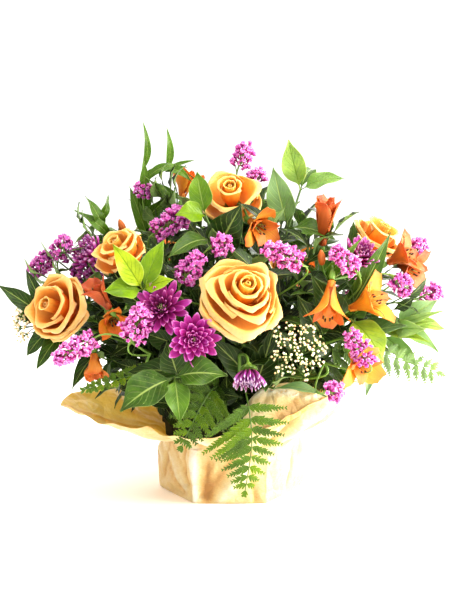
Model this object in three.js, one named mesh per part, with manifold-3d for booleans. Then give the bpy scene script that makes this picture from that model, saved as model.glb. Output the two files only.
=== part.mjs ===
// A mixed bouquet standing in its paper wrapper: roses, spray mums, alstroemeria, statice,
// rice flower, broad leaves and fern, stuck into a round of foam in a pot that the paper hides.
// Millimetres, +Z up. The origin is the centre of the flat underside, and the front faces -Y.
import * as THREE from "three";
import { mergeVertices } from "three/addons/utils/BufferGeometryUtils.js";
import Module from "manifold-3d";

const wasm = await Module();
wasm.setup();

// Driving dimensions
const gap = 0.35; // air between two pieces that touch
const slack = 0.12; // slivers left by the joins are merged within this
const paperThickness = 0.8;
const paperBottomRadius = 69;
const neckRadius = 72;
const neckHeight = 56;
const baseFacets = 6;
const pleats = 9;
const pleatDepth = 1.8;
const potHeight = 76;
const potBottomRadius = 60;
const potTopRadius = 66.5;
const potWall = 2.2;
const foamTop = 92;
const stemFoot = 56; // height at which the cut stems end inside the foam

// The rim of the paper collar: azimuth in degrees (0 is +X, 270 is the front), radius, height
const paperRim = [
  [10, 124, 106],
  [40, 124, 96],
  [68, 152, 106],
  [100, 124, 92],
  [130, 132, 88],
  [155, 130, 98],
  [190, 170, 92],
  [215, 140, 84],
  [245, 122, 79],
  [270, 117, 81],
  [294, 121, 93],
  [316, 127, 113],
  [341, 138, 121],
];

const roses = [
  { name: "front", at: [8, -150, 214], facing: [0.04, -0.88, 0.42], across: 76, turn: 21, full: true },
  { name: "left", at: [-160, -82, 196], facing: [-0.62, -0.62, 0.4], across: 64, turn: 40 },
  { name: "upper_left", at: [-101, -96, 250], facing: [-0.3, -0.55, 0.78], across: 54, turn: 5 },
  { name: "top", at: [1, -42, 300], facing: [-0.06, -0.4, 0.92], across: 56, turn: 60 },
  { name: "right", at: [146, 12, 252], facing: [0.5, -0.34, 0.8], across: 60, turn: 25 },
  { name: "back_left", at: [-82, 128, 226], facing: [-0.4, 0.78, 0.48], across: 64, turn: 12 },
  { name: "back_right", at: [78, 142, 214], facing: [0.42, 0.82, 0.4], across: 66, turn: 50 },
];

// open is 1 for a flat open mum and near 0 for one whose petals still point forwards
const mums = [
  { name: "left_upper", at: [-62, -148, 206], facing: [-0.18, -0.9, 0.4], across: 46, open: 0.95 },
  { name: "left_lower", at: [-29, -160, 176], facing: [0.12, -0.98, 0.1], across: 41, open: 1 },
  { name: "drooping", at: [15, -168, 149], facing: [0.02, -0.5, -0.86], across: 32, open: 0.3 },
  { name: "left_side", at: [-136, -44, 243], facing: [-0.6, -0.5, 0.62], across: 40, open: 0.7 },
  { name: "right_side", at: [124, -66, 245], facing: [0.3, -0.62, 0.72], across: 38, open: 0.7 },
  { name: "back", at: [-8, 158, 178], facing: [-0.1, 0.95, 0.3], across: 46, open: 0.95 },
];

// open widens the trumpet, as a share of a fully open one
const alstroemerias = [
  { name: "right", at: [130, -98, 206], facing: [0.82, -0.42, 0.38], length: 44, open: 1, stamens: 3 },
  { name: "right_hanging", at: [90, -124, 206], facing: [-0.12, -0.4, -0.9], length: 46, open: 0.6 },
  { name: "right_high", at: [168, -36, 240], facing: [0.8, -0.3, 0.45], length: 34, open: 0.8 },
  { name: "upright", at: [90, -62, 276], facing: [0.08, -0.25, 0.96], length: 50, open: 0.42 },
  { name: "back_top", at: [-46, 34, 306], facing: [0.2, 0.35, 0.9], length: 42, open: 0.9 },
  { name: "left", at: [-119, -116, 212], facing: [-0.5, -0.35, 0.8], length: 32, open: 0.2 },
];

// Each head of statice is a short curved comb of florets: its place, the way it lies and its length
const statice = [
  {
    name: "front_left",
    fork: [-74, -112, 158],
    heads: [
      { at: [-139, -142, 168], lie: [0.86, 0.1, 0.5], long: 40 },
      { at: [-84, -152, 190], lie: [0.4, -0.1, 0.9], long: 30 },
    ],
  },
  {
    name: "upper_left",
    fork: [-52, -30, 220],
    heads: [
      { at: [-56, -66, 275], lie: [0.8, 0, 0.5], long: 40 },
      { at: [-86, 2, 300], lie: [0.1, 0, 1], long: 12 },
    ],
  },
  {
    name: "centre",
    fork: [-24, -60, 196],
    heads: [
      { at: [-37, -118, 236], lie: [0.55, 0, 0.84], long: 30 },
      { at: [-10, -106, 258], lie: [0.9, 0, 0.3], long: 16 },
    ],
  },
  {
    name: "centre_right",
    fork: [34, -62, 200],
    heads: [
      { at: [50, -128, 250], lie: [0.85, -0.1, -0.4], long: 34 },
    ],
  },
  {
    name: "right",
    fork: [100, -52, 192],
    heads: [
      { at: [106, -112, 243], lie: [0.7, 0, -0.7], long: 28 },
      { at: [160, -78, 219], lie: [0.7, 0.1, -0.6], long: 20 },
    ],
  },
  {
    name: "right_low",
    fork: [88, -88, 146],
    heads: [
      { at: [118, -136, 166], lie: [0.5, 0, -0.8], long: 32 },
      { at: [92, -152, 130], lie: [1, 0, 0.2], long: 12 },
    ],
  },
  {
    name: "top",
    fork: [18, 4, 280],
    heads: [
      { at: [12, 2, 334], lie: [0.35, 0, 0.9], long: 22 },
      { at: [26, -4, 314], lie: [0.1, 0, 1], long: 10 },
    ],
  },
  {
    name: "left_far",
    fork: [-128, -16, 196],
    heads: [
      { at: [-184, -28, 232], lie: [0.7, 0, 0.7], long: 26 },
    ],
  },
  {
    name: "right_far",
    fork: [138, 28, 186],
    heads: [
      { at: [190, 22, 240], lie: [0.3, 0, 0.9], long: 16 },
      { at: [200, 12, 196], lie: [0.8, 0, 0.3], long: 22 },
    ],
  },
  {
    name: "back",
    fork: [10, 92, 190],
    heads: [
      { at: [-2, 118, 258], lie: [-0.5, 0.3, 0.7], long: 34 },
      { at: [132, 92, 196], lie: [0.8, 0.3, 0.3], long: 28 },
    ],
  },
];

const riceFlowers = [
  { name: "right", at: [62, -152, 170], facing: [0.16, -0.92, 0.36], across: 58, height: 62, sprigs: 8 },
  { name: "left", at: [-202, -50, 180], facing: [-0.75, -0.6, 0.25], across: 24, height: 38, sprigs: 4 },
];

// Leafy stems. via lists where the stem runs after it leaves the foam. Each leaf has its root,
// its tip, its width and the way its upper face looks.
const leafyStems = [
  {
    name: "front_left",
    via: [[-20, -58, 118], [-40, -125, 138], [-50, -160, 145]],
    leaves: [
      { root: [-51, -160, 145], tip: [-97, -180, 120], wide: 36, face: [-0.2, -0.8, 0.6] },
      { root: [-49, -160, 146], tip: [-4, -176, 152], wide: 30, face: [0.1, -0.75, 0.66] },
      { root: [-49, -161, 144], tip: [-45, -184, 110], wide: 22, face: [0.1, -0.9, 0.4] },
      { root: [-47, -150, 144], tip: [-56, -158, 176], wide: 24, face: [0, -1, 0.1] },
      { root: [-40, -125, 139], tip: [-92, -140, 146], wide: 24, face: [0, -0.5, 0.86] },
    ],
  },
  {
    name: "lime_left",
    via: [[-28, -50, 140], [-60, -105, 190], [-79, -136, 220]],
    leaves: [
      { root: [-79, -137, 221], tip: [-104, -148, 262], wide: 24, face: [0.1, -0.95, 0.2] },
      { root: [-78, -136, 222], tip: [-62, -138, 266], wide: 24, face: [-0.2, -0.9, -0.1] },
      { root: [-80, -137, 220], tip: [-112, -152, 222], wide: 25, face: [-0.1, -0.85, 0.5] },
      { root: [-78, -138, 219], tip: [-52, -148, 232], wide: 15, face: [0.2, -0.8, 0.5] },
    ],
  },
  {
    name: "top_right",
    via: [[18, -18, 150], [42, -36, 220], [54, -44, 262], [68, -32, 304]],
    leaves: [
      { root: [68, -32, 304], tip: [56, -32, 352], wide: 27, face: [-0.2, -0.95, 0.1] },
      { root: [69, -32, 303], tip: [108, -44, 317], wide: 25, face: [0.2, -0.7, 0.7] },
      { root: [69, -30, 304], tip: [80, 8, 326], wide: 18, face: [0, -0.6, 0.8] },
      { root: [56, -43, 266], tip: [38, -54, 326], wide: 28, face: [-0.2, -0.95, 0.2] },
      { root: [56, -44, 265], tip: [98, -66, 262], wide: 22, face: [0, -0.6, 0.8] },
    ],
  },
  {
    name: "top_centre",
    via: [[-6, -26, 150], [-10, -58, 215], [-16, -78, 262], [-24, -72, 284]],
    leaves: [
      { root: [-13, -70, 250], tip: [10, -98, 292], wide: 34, face: [0, -0.95, 0.3] },
      { root: [-15, -76, 258], tip: [-58, -106, 250], wide: 22, face: [-0.1, -0.6, 0.8] },
      { root: [-22, -73, 282], tip: [-50, -88, 286], wide: 24, face: [-0.1, -0.8, 0.6] },
      { root: [-22, -73, 283], tip: [-30, -66, 324], wide: 22, face: [-0.2, -0.95, 0.1] },
      { root: [-9, -54, 208], tip: [30, -96, 232], wide: 30, face: [0.1, -0.85, 0.5] },
    ],
  },
  {
    name: "left",
    via: [[-56, -22, 124], [-120, -46, 150], [-176, -56, 182]],
    leaves: [
      { root: [-174, -56, 181], tip: [-222, -66, 214], wide: 24, face: [-0.2, -0.8, 0.5] },
      { root: [-160, -53, 172], tip: [-214, -78, 152], wide: 24, face: [-0.2, -0.6, 0.8] },
      { root: [-150, -52, 166], tip: [-186, -92, 142], wide: 20, face: [0, -0.8, 0.6] },
      { root: [-122, -46, 151], tip: [-150, -104, 124], wide: 24, face: [-0.1, -0.6, 0.8] },
    ],
  },
  {
    name: "right",
    via: [[44, -22, 124], [84, -52, 158], [112, -84, 186]],
    leaves: [
      { root: [110, -82, 184], tip: [132, -122, 160], wide: 34, face: [0.4, -0.8, 0.4] },
      { root: [106, -76, 180], tip: [76, -118, 230], wide: 26, face: [-0.1, -0.95, 0.2] },
      { root: [100, -70, 174], tip: [158, -70, 262], wide: 20, face: [0.1, -0.9, 0.2] },
      { root: [92, -60, 166], tip: [60, -120, 206], wide: 30, face: [-0.2, -0.9, 0.3] },
    ],
  },
  {
    name: "right_low",
    via: [[56, 4, 124], [116, -6, 146], [168, -8, 166]],
    leaves: [
      { root: [166, -8, 165], tip: [216, -14, 166], wide: 22, face: [0.1, -0.6, 0.8] },
      { root: [164, -9, 164], tip: [206, -34, 144], wide: 22, face: [0.1, -0.7, 0.7] },
      { root: [162, -7, 165], tip: [204, -10, 196], wide: 24, face: [0, -0.9, 0.4] },
      { root: [134, -8, 153], tip: [136, -66, 112], wide: 24, face: [0.3, -0.8, 0.5] },
      { root: [126, -6, 150], tip: [166, -50, 178], wide: 26, face: [0.1, -0.8, 0.6] },
      { root: [140, -6, 155], tip: [176, 40, 150], wide: 26, face: [0.2, 0.2, 0.95] },
    ],
  },
  {
    name: "front_centre",
    via: [[14, -60, 114], [30, -104, 126], [40, -128, 128]],
    leaves: [
      { root: [40, -128, 128], tip: [86, -154, 124], wide: 15, face: [0.1, -0.5, 0.85] },
      { root: [38, -126, 129], tip: [66, -164, 150], wide: 20, face: [0.2, -0.6, 0.8] },
      { root: [31, -106, 127], tip: [38, -160, 118], wide: 20, face: [0.1, -0.5, 0.86] },
      { root: [26, -96, 124], tip: [-18, -130, 176], wide: 24, face: [-0.1, -0.9, 0.3] },
      { root: [22, -86, 121], tip: [40, -130, 186], wide: 26, face: [0.1, -0.9, 0.4] },
    ],
  },
  {
    name: "back",
    via: [[6, 56, 122], [10, 110, 142], [12, 150, 140]],
    leaves: [
      { root: [12, 148, 140], tip: [60, 178, 134], wide: 32, face: [0.1, 0.6, 0.8] },
      { root: [11, 146, 141], tip: [-40, 172, 124], wide: 32, face: [-0.1, 0.6, 0.8] },
      { root: [12, 150, 139], tip: [20, 192, 110], wide: 30, face: [0, 0.8, 0.6] },
      { root: [10, 110, 142], tip: [-70, 138, 152], wide: 34, face: [-0.2, 0.5, 0.86] },
      { root: [10, 106, 141], tip: [98, 128, 148], wide: 34, face: [0.2, 0.5, 0.86] },
      { root: [9, 100, 138], tip: [34, 148, 190], wide: 30, face: [0, 0.9, 0.4] },
    ],
  },
];

const ferns = [
  {
    name: "front_hanging",
    via: [[6, -62, 116], [11, -110, 128], [15, -146, 122], [13, -166, 96], [7, -172, 42]],
    from: 0.58,
    pairs: 7,
    reach: 46,
    lobes: 3,
    up: [0, -1, 0.12],
  },
  {
    name: "left",
    via: [[-40, -46, 116], [-78, -92, 136], [-132, -130, 120]],
    from: 0.42,
    pairs: 5,
    reach: 30,
    lobes: 2,
    up: [0, -0.6, 0.8],
  },
  {
    name: "right",
    via: [[60, -20, 118], [124, -34, 142], [198, -26, 118]],
    from: 0.42,
    pairs: 5,
    reach: 34,
    lobes: 2,
    up: [0.1, -0.6, 0.8],
  },
  {
    name: "back",
    via: [[-36, 52, 118], [-84, 110, 134], [-118, 164, 104]],
    from: 0.4,
    pairs: 5,
    reach: 42,
    lobes: 2,
    up: [-0.2, 0.5, 0.84],
  },
];

const looks = {
  paper: { color: 0xc79a5b, roughness: 0.85, metalness: 0 },
  pot: { color: 0x33402f, roughness: 0.5, metalness: 0 },
  foam: { color: 0x3f6b43, roughness: 1, metalness: 0 },
  rose: { color: 0xf6a032, roughness: 0.55, metalness: 0 },
  mum: { color: 0xa82a9c, roughness: 0.6, metalness: 0 },
  alstroemeria: { color: 0xee7a2c, roughness: 0.5, metalness: 0 },
  statice: { color: 0xc45bc0, roughness: 0.8, metalness: 0 },
  rice: { color: 0xf1e6c4, roughness: 0.8, metalness: 0 },
  stem: { color: 0x5e8b38, roughness: 0.6, metalness: 0 },
  leaf: { color: 0x4c8a34, roughness: 0.45, metalness: 0 },
  fern: { color: 0x6aa02c, roughness: 0.55, metalness: 0 },
};

// Vector helpers
const vec = (p) => new THREE.Vector3(...p);
const up = vec([0, 0, 1]);
const radians = (degrees) => (degrees * Math.PI) / 180;
const mix = (a, b, t) => a + (b - a) * t;

function randomFrom(seed) {
  let state = seed * 2654435761;
  return () => {
    state = (Math.imul(state ^ (state >>> 15), 2246822519) + 0x9e3779b9) >>> 0;
    return state / 4294967296;
  };
}

// A frame whose z axis is the given direction, moved to a place
function frameAt(place, direction, turn = 0) {
  const turned = new THREE.Matrix4().makeRotationZ(radians(turn));
  const aimed = new THREE.Quaternion().setFromUnitVectors(up, direction.clone().normalize());
  return new THREE.Matrix4().compose(place, aimed, new THREE.Vector3(1, 1, 1)).multiply(turned);
}

// Solids
function solidOf(geometry) {
  const bare = geometry.clone();
  bare.deleteAttribute("normal");
  bare.deleteAttribute("uv");
  const merged = mergeVertices(bare, 1e-4);
  const vertProperties = merged.attributes.position.array;
  const build = (triVerts) => new wasm.Manifold(new wasm.Mesh({ numProp: 3, vertProperties, triVerts }));
  const made = build(new Uint32Array(merged.index.array));
  return made.volume() > 0 ? made : build(new Uint32Array(merged.index.array).reverse());
}

function geometryOf(solid) {
  const mesh = solid.getMesh();
  const geometry = new THREE.BufferGeometry();
  geometry.setAttribute("position", new THREE.BufferAttribute(mesh.vertProperties, 3));
  geometry.setIndex(new THREE.BufferAttribute(mesh.triVerts, 1));
  return geometry;
}

// Skins a row of rings. A ring of one point closes to a tip; the others end in a flat fan.
// Both faces of a blade are split along like diagonals, so that a waved one never crosses itself.
function loft(rings) {
  const points = rings.flat();
  const starts = rings.map((ring, i) => rings.slice(0, i).reduce((sum, r) => sum + r.length, 0));
  const size = Math.max(...rings.map((ring) => ring.length));
  const index = [];
  for (let j = 0; j + 1 < rings.length; j++) {
    const [a, b] = [starts[j], starts[j + 1]];
    for (let i = 0; i < size; i++) {
      const next = (i + 1) % size;
      if (rings[j].length === 1) index.push(a, b + next, b + i);
      else if (rings[j + 1].length === 1) index.push(a + i, a + next, b);
      else if (i < size / 2) index.push(a + i, a + next, b + next, a + i, b + next, b + i);
      else index.push(a + i, a + next, b + i, a + next, b + next, b + i);
    }
  }
  const last = starts.at(-1);
  for (let i = 1; i + 1 < size; i++) {
    if (rings[0].length > 1) index.push(0, i + 1, i);
    if (rings.at(-1).length > 1) index.push(last, last + i, last + i + 1);
  }
  const geometry = new THREE.BufferGeometry().setFromPoints(points);
  geometry.setIndex(index);
  return solidOf(geometry);
}

// A thin closed blade over surface(u, v), with u from -1 to 1 across and v from 0 to 1 along,
// taken at the given stations. It is thickest on its midrib and thins to its two edges.
function blade(surface, { across = 2, stations = [0, 0.34, 0.7, 1], thick = 1, pointed = true }) {
  const rings = [];
  const step = 1e-3;
  for (const v of stations) {
    if (pointed && v === 1) {
      rings.push([surface(0, 1)]);
      break;
    }
    const [upper, lower] = [[], []];
    for (let i = 0; i <= across; i++) {
      const u = -1 + (2 * i) / across;
      const place = surface(u, v);
      const alongU = surface(u + step, v).sub(surface(u - step, v));
      const alongV = surface(u, Math.min(1, v + step)).sub(surface(u, Math.max(0, v - step)));
      const normal = alongU.cross(alongV).normalize();
      const half = (thick / 2) * (1 - u * u);
      upper.push(place.clone().addScaledVector(normal, half));
      if (i > 0 && i < across) lower.unshift(place.clone().addScaledVector(normal, -half));
    }
    rings.push([...upper, ...lower]);
  }
  return loft(rings);
}

// A round rod through points, with its section carried along without twist
function rod(points, radius, sides) {
  const last = points.length - 1;
  let across = null;
  return loft(points.map((point, i) => {
    const ahead = points[Math.min(i + 1, last)].clone().sub(points[Math.max(i - 1, 0)]).normalize();
    across = across ?? new THREE.Vector3(0.3, 0.9, 0.2).normalize();
    across = across.clone().addScaledVector(ahead, -across.dot(ahead)).normalize();
    const other = ahead.clone().cross(across);
    return Array.from({ length: sides }, (_, k) => {
      const angle = (2 * Math.PI * k) / sides;
      return point.clone().addScaledVector(across, radius * Math.cos(angle))
        .addScaledVector(other, radius * Math.sin(angle));
    });
  }));
}

const alongCurve = (curve, steps) => Array.from({ length: steps + 1 }, (_, i) => curve.getPointAt(i / steps));

function lathe(profile, segments) {
  const points = profile.map(([r, z]) => new THREE.Vector2(r, z));
  return solidOf(new THREE.LatheGeometry(points, segments).rotateX(Math.PI / 2));
}

// A petal or needle with three sides: narrow root, widest at two thirds, pointed tip
function spike(root, tip, wide, thick, bend) {
  const along = tip.clone().sub(root);
  const side = along.clone().cross(bend).normalize();
  const middle = root.clone().addScaledVector(along, 0.62).addScaledVector(bend, 0.1 * along.length());
  const ring = (place, width) => [
    place.clone().addScaledVector(side, -width / 2),
    place.clone().addScaledVector(side, width / 2),
    place.clone().addScaledVector(bend, -thick),
  ];
  return loft([ring(root, wide * 0.5), ring(middle, wide), [tip]]);
}

// Skins a stack of rings round the Z axis, from the bottom pole to the top one. A ring is a list
// of [turn, radius, height] with its turns rising from 0 to 1, and may differ in count from the next.
function stack(rings) {
  const points = rings.flat().map(([turn, radius, height]) => {
    const angle = 2 * Math.PI * turn;
    return new THREE.Vector3(radius * Math.cos(angle), radius * Math.sin(angle), height);
  });
  const index = [];
  let low = 0;
  for (let k = 0; k + 1 < rings.length; k++) {
    const [below, above] = [rings[k], rings[k + 1]];
    const high = low + below.length;
    const turnOf = (ring, i) => ring[i % ring.length][0] + Math.floor(i / ring.length);
    let [i, j] = [0, 0];
    while (i < below.length || j < above.length) {
      const nextBelow = below.length > 1 && i < below.length ? turnOf(below, i + 1) : Infinity;
      const nextAbove = above.length > 1 && j < above.length ? turnOf(above, j + 1) : Infinity;
      if (nextBelow === Infinity && nextAbove === Infinity) break;
      const [a, b] = [low + (i % below.length), high + (j % above.length)];
      if (nextBelow < nextAbove) index.push(a, low + (++i % below.length), b);
      else index.push(a, high + (++j % above.length), b);
    }
    low = high;
  }
  const geometry = new THREE.BufferGeometry().setFromPoints(points);
  geometry.setIndex(index);
  return solidOf(geometry);
}

const evenRing = (count, radius, height, start = 0) =>
  Array.from({ length: count }, (_, i) => [(i + start) / count, radius, height]);

// The rim of a whorl of petals that rise from a ring. A petal is a blunt strap, or a pointed one
function petalRim({ count, reach, notch, half, lift, from, height, start = 0, pointed = false }) {
  const on = (turn, radius) => {
    const run = radius - from;
    return [turn, from + run * Math.cos(radians(lift)), height + run * Math.sin(radians(lift))];
  };
  const shoulder = pointed ? from + 0.6 * (reach - from) : reach;
  const wide = Math.atan2(half, on(0, shoulder)[1]) / (2 * Math.PI);
  return Array.from({ length: count }, (_, i) => {
    const middle = (i + 0.5 + start) / count;
    const tip = pointed ? [on(middle, reach)] : [];
    return [on((i + start) / count, notch), on(middle - wide, shoulder), ...tip, on(middle + wide, shoulder)];
  }).flat();
}

// Everything that has its place already. A new piece is bent until it clears all of it.
const settled = [];

function boxesMeet(a, b) {
  return [0, 1, 2].every((k) => a.min[k] < b.max[k] + gap && b.min[k] < a.max[k] + gap);
}

function isClear(solid) {
  const box = solid.boundingBox();
  const near = settled.filter((other) => boxesMeet(box, other.box));
  return near.every((other) => solid.minGap(other.solid, 2 * gap) >= gap);
}

// Small swings, in degrees, that are tried in turn until a leaf or a branch is clear
const swings = [
  [0, 0], [6, 0], [-6, 0], [0, 7], [0, -7], [9, 8], [-9, -8], [9, -8], [-9, 8],
  [16, 0], [-16, 0], [0, 16], [0, -16], [22, 12], [-22, -12], [22, -12], [-22, 12], [30, 0], [-30, 0],
];

function swung(direction, [pitch, yaw]) {
  const side = direction.clone().cross(up).normalize();
  return direction.clone().applyAxisAngle(side, radians(pitch)).applyAxisAngle(up, radians(yaw));
}

function firstClear(make) {
  for (const swing of swings) {
    const made = make(swing);
    if (made && isClear(made)) return made;
  }
  return null;
}

const bouquet = new THREE.Group();

// Joins the pieces of a node, keeps its one body, and adds it to the bouquet
function addNode(name, look, pieces) {
  const joined = wasm.Manifold.union(pieces.filter(Boolean));
  const bodies = joined.decompose().sort((a, b) => b.volume() - a.volume());
  const solid = bodies[0].simplify(slack);
  settled.push({ name, solid, box: solid.boundingBox() });
  const mesh = new THREE.Mesh(geometryOf(solid), new THREE.MeshStandardMaterial(looks[look]));
  mesh.name = name;
  bouquet.add(mesh);
  return solid;
}

// Wrapper, pot and foam
function rimAt(azimuth) {
  const count = paperRim.length;
  const next = paperRim.findIndex(([angle]) => angle > azimuth);
  const i = next < 0 ? count : next;
  const pick = (k) => {
    const [angle, radius, height] = paperRim[((k % count) + count) % count];
    return [angle + 360 * Math.floor(k / count), radius, height];
  };
  const four = [i - 2, i - 1, i, i + 1].map(pick);
  const t = (azimuth - four[1][0]) / (four[2][0] - four[1][0]);
  const smooth = (k) => {
    const [a, b, c, d] = four.map((point) => point[k]);
    const [rise, fall] = [(c - a) / 2, (d - b) / 2];
    const [t2, t3] = [t * t, t * t * t];
    return (2 * t3 - 3 * t2 + 1) * b + (t3 - 2 * t2 + t) * rise + (3 * t2 - 2 * t3) * c + (t3 - t2) * fall;
  };
  return [smooth(1), smooth(2)];
}

// 1 at the corners of the faceted base, less in the middle of its flats
function facet(angle) {
  const pitch = (2 * Math.PI) / baseFacets;
  const within = (((angle % pitch) + pitch) % pitch) - pitch / 2;
  return Math.cos(pitch / 2) / Math.cos(within);
}

// Stations up the wall: radius, height, how sharply the base is faceted, how deep the pleats are
const paperWall = [
  [paperBottomRadius, 0, 0.55, 0],
  [paperBottomRadius + 2, 5, 0.5, 0.2],
  [neckRadius + 1, 30, 0.4, 0.7],
  [neckRadius, neckHeight, 0.25, 1],
  [neckRadius + 5, neckHeight + 6, 0.1, 1.3],
];
const paperStations = paperWall.length + 2;
const crumple = randomFrom(11);

function paperPoint(azimuth, station) {
  const angle = radians(azimuth);
  const [rimRadius, rimHeight] = rimAt(azimuth);
  let [radius, height, faceted, pleat] = paperWall[Math.min(station, paperWall.length - 1)];
  if (station >= paperWall.length) {
    const out = station === paperWall.length ? 0.5 : 1;
    radius = mix(radius, rimRadius, out);
    height = mix(height, rimHeight, out ** 1.25);
    pleat = 1.8 - out;
  }
  radius *= mix(1, facet(angle), faceted);
  radius += Math.cos(pleats * angle + 0.6) * pleatDepth * pleat;
  if (station > 0) radius += 1.6 * (crumple() - 0.5);
  return new THREE.Vector3(radius * Math.cos(angle), radius * Math.sin(angle), height);
}

function paperWrap() {
  const segments = 30;
  const stations = paperStations;
  const outer = [];
  for (let s = 0; s < stations; s++) {
    for (let i = 0; i < segments; i++) outer.push(paperPoint((360 * i) / segments, s));
  }
  const skin = new THREE.BufferGeometry().setFromPoints([...outer, new THREE.Vector3()]);
  const centre = outer.length;
  const faces = [];
  for (let i = 0; i < segments; i++) {
    const next = (i + 1) % segments;
    faces.push([centre, next, i]);
    for (let s = 0; s + 1 < stations; s++) {
      const [a, b] = [s * segments, (s + 1) * segments];
      faces.push([a + i, a + next, b + next], [a + i, b + next, b + i]);
    }
  }
  skin.setIndex(faces.flat());
  skin.computeVertexNormals();
  const normals = skin.attributes.normal;
  const place = (k) => new THREE.Vector3().fromBufferAttribute(skin.attributes.position, k);
  const inner = [...outer.keys(), centre].map((k) => {
    const normal = new THREE.Vector3().fromBufferAttribute(normals, k);
    const inset = place(k).addScaledVector(normal, -paperThickness);
    if (k < segments || k === centre) inset.z = paperThickness;
    return inset;
  });
  const offset = inner.length;
  const index = faces.flat();
  for (const [a, b, c] of faces) index.push(a + offset, c + offset, b + offset);
  const rim = (stations - 1) * segments;
  for (let i = 0; i < segments; i++) {
    const [a, b] = [rim + i, rim + ((i + 1) % segments)];
    index.push(a, b, b + offset, a, b + offset, a + offset);
  }
  const shell = new THREE.BufferGeometry().setFromPoints([...outer, new THREE.Vector3(), ...inner]);
  shell.setIndex(index);
  return solidOf(shell);
}

function pot() {
  const floor = paperThickness + gap;
  const inside = floor + potWall;
  return lathe(
    [
      [0, floor],
      [potBottomRadius, floor],
      [potTopRadius, potHeight - 5],
      [potTopRadius + 2.5, potHeight - 5],
      [potTopRadius + 2.5, potHeight],
      [potTopRadius - potWall, potHeight],
      [potBottomRadius - potWall, inside],
      [0, inside],
    ],
    18,
  );
}

function foamBlock() {
  const floor = paperThickness + 2 * gap + potWall;
  const bottom = potBottomRadius - potWall - 1.4;
  const top = potTopRadius - potWall - 1.4;
  return lathe(
    [
      [0, floor],
      [bottom, floor],
      [top, potHeight],
      [top, foamTop - 8],
      [top - 8, foamTop],
      [0, foamTop],
    ],
    12,
  );
}

// Stems. A stem starts in the foam, in line with where it is going, and runs through its points.
const holes = [];

// The ways a stem may leave the foam: degrees round the axis and millimetres further out
const ways = [0, 5, 10, 16, 24, 34].flatMap((turn) => [
  [turn, 0], [-turn, 0], [turn, -7], [-turn, 7], [turn, 8], [-turn, -9], [turn, 15], [-turn, 15],
]);

function stemPath(points, [turn, lean], steps) {
  const first = vec(points[0]).applyAxisAngle(up, radians(turn));
  const spread = Math.hypot(first.x, first.y);
  const outward = new THREE.Vector3(first.x, first.y, 0).normalize();
  first.addScaledVector(outward, lean * 0.8);
  const foot = THREE.MathUtils.clamp(spread * 0.62 + lean, 3, 46);
  const start = outward.clone().multiplyScalar(foot).setZ(stemFoot);
  const exit = outward.clone().multiplyScalar(Math.min(foot * 1.1, 50)).setZ(foamTop + 3);
  const middle = points.slice(1, -1).map((point) => vec(point).applyAxisAngle(up, radians(turn * 0.4)));
  const route = [exit, first, ...middle, vec(points.at(-1))];
  const curve = new THREE.CatmullRomCurve3(route, false, "centripetal");
  return [start, ...alongCurve(curve, steps)];
}

// Points from above the foam to the back of a bloom, arriving along the way it faces
function stemPoints(base, facing, run) {
  const back = base.clone().addScaledVector(facing, -run);
  const spread = Math.hypot(back.x, back.y);
  const reach = Math.min(0.42, 52 / Math.max(spread, 1));
  const low = foamTop + 14;
  const height = Math.max(low, mix(low, back.z, 0.3));
  return [[back.x * reach, back.y * reach, height], back.toArray(), base.toArray()];
}

function stemSolid(points, radius, way, steps, sides) {
  const path = stemPath(points, way, steps);
  // a point on the straight runs that the stem is made of
  const at = (share) => {
    const x = THREE.MathUtils.clamp(share, 0, 1) * steps + 1;
    const i = Math.min(Math.floor(x), steps);
    return path[i].clone().lerp(path[i + 1], x - i);
  };
  const ahead = (share) => {
    const i = Math.min(Math.floor(THREE.MathUtils.clamp(share, 0, 1) * steps), steps - 1) + 1;
    return path[i + 1].clone().sub(path[i]).normalize();
  };
  const fatter = gap / Math.cos(Math.PI / sides);
  const hole = () => {
    const below = path[0].clone().sub(path[1]).normalize().multiplyScalar(gap).add(path[0]);
    return rod([below, path[1], path[2]], radius + fatter, sides);
  };
  return { at, ahead, solid: rod(path, radius, sides), hole };
}

function nearestOn(stem, place) {
  const samples = Array.from({ length: 41 }, (_, i) => stem.at(i / 40));
  return samples.reduce((best, point) => (point.distanceTo(place) < best.distanceTo(place) ? point : best));
}

// The first stem whose way is clear; its hole is kept for the foam
function growStem(name, points, radius, steps, sides) {
  for (const way of ways) {
    const stem = stemSolid(points, radius, way, steps, sides);
    if (isClear(stem.solid)) {
      holes.push(stem.hole());
      return stem;
    }
  }
  const tried = stemSolid(points, radius, [0, 0], steps, sides).solid;
  const met = settled.filter((other) => tried.minGap(other.solid, 2 * gap) < gap).map((other) => other.name);
  throw new Error(name + " finds no clear way past " + met);
}

// Leaves. The shape is narrow where it meets the stem, widest below the middle and pointed.
const leafWidths = [0.06, 0.55, 0.96, 1, 0.86, 0.5, 0.04];
const leafShape = (v) => smoothPick(leafWidths, v);

function smoothPick(values, t) {
  const x = THREE.MathUtils.clamp(t, 0, 1) * (values.length - 1);
  const i = Math.min(Math.floor(x), values.length - 2);
  return mix(values[i], values[i + 1], x - i);
}

function leafSurface(root, direction, length, wide, face, options) {
  const { sag = 0.16, fold = 0.3, twist = 0 } = options;
  const normal = face.clone().addScaledVector(direction, -face.dot(direction)).normalize();
  const side = direction.clone().cross(normal).normalize();
  return (u, v) => {
    const half = (wide / 2) * leafShape(v);
    const arch = length * sag * (Math.sin(Math.PI * v) * 0.6 - v * v * 0.5);
    const turn = radians(twist) * v;
    const across = side.clone().applyAxisAngle(direction, turn).multiplyScalar(half * u);
    const lift = normal.clone().applyAxisAngle(direction, turn).multiplyScalar(fold * half * Math.abs(u));
    return root.clone().addScaledVector(direction, length * v).addScaledVector(normal, arch)
      .add(across).add(lift);
  };
}

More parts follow.
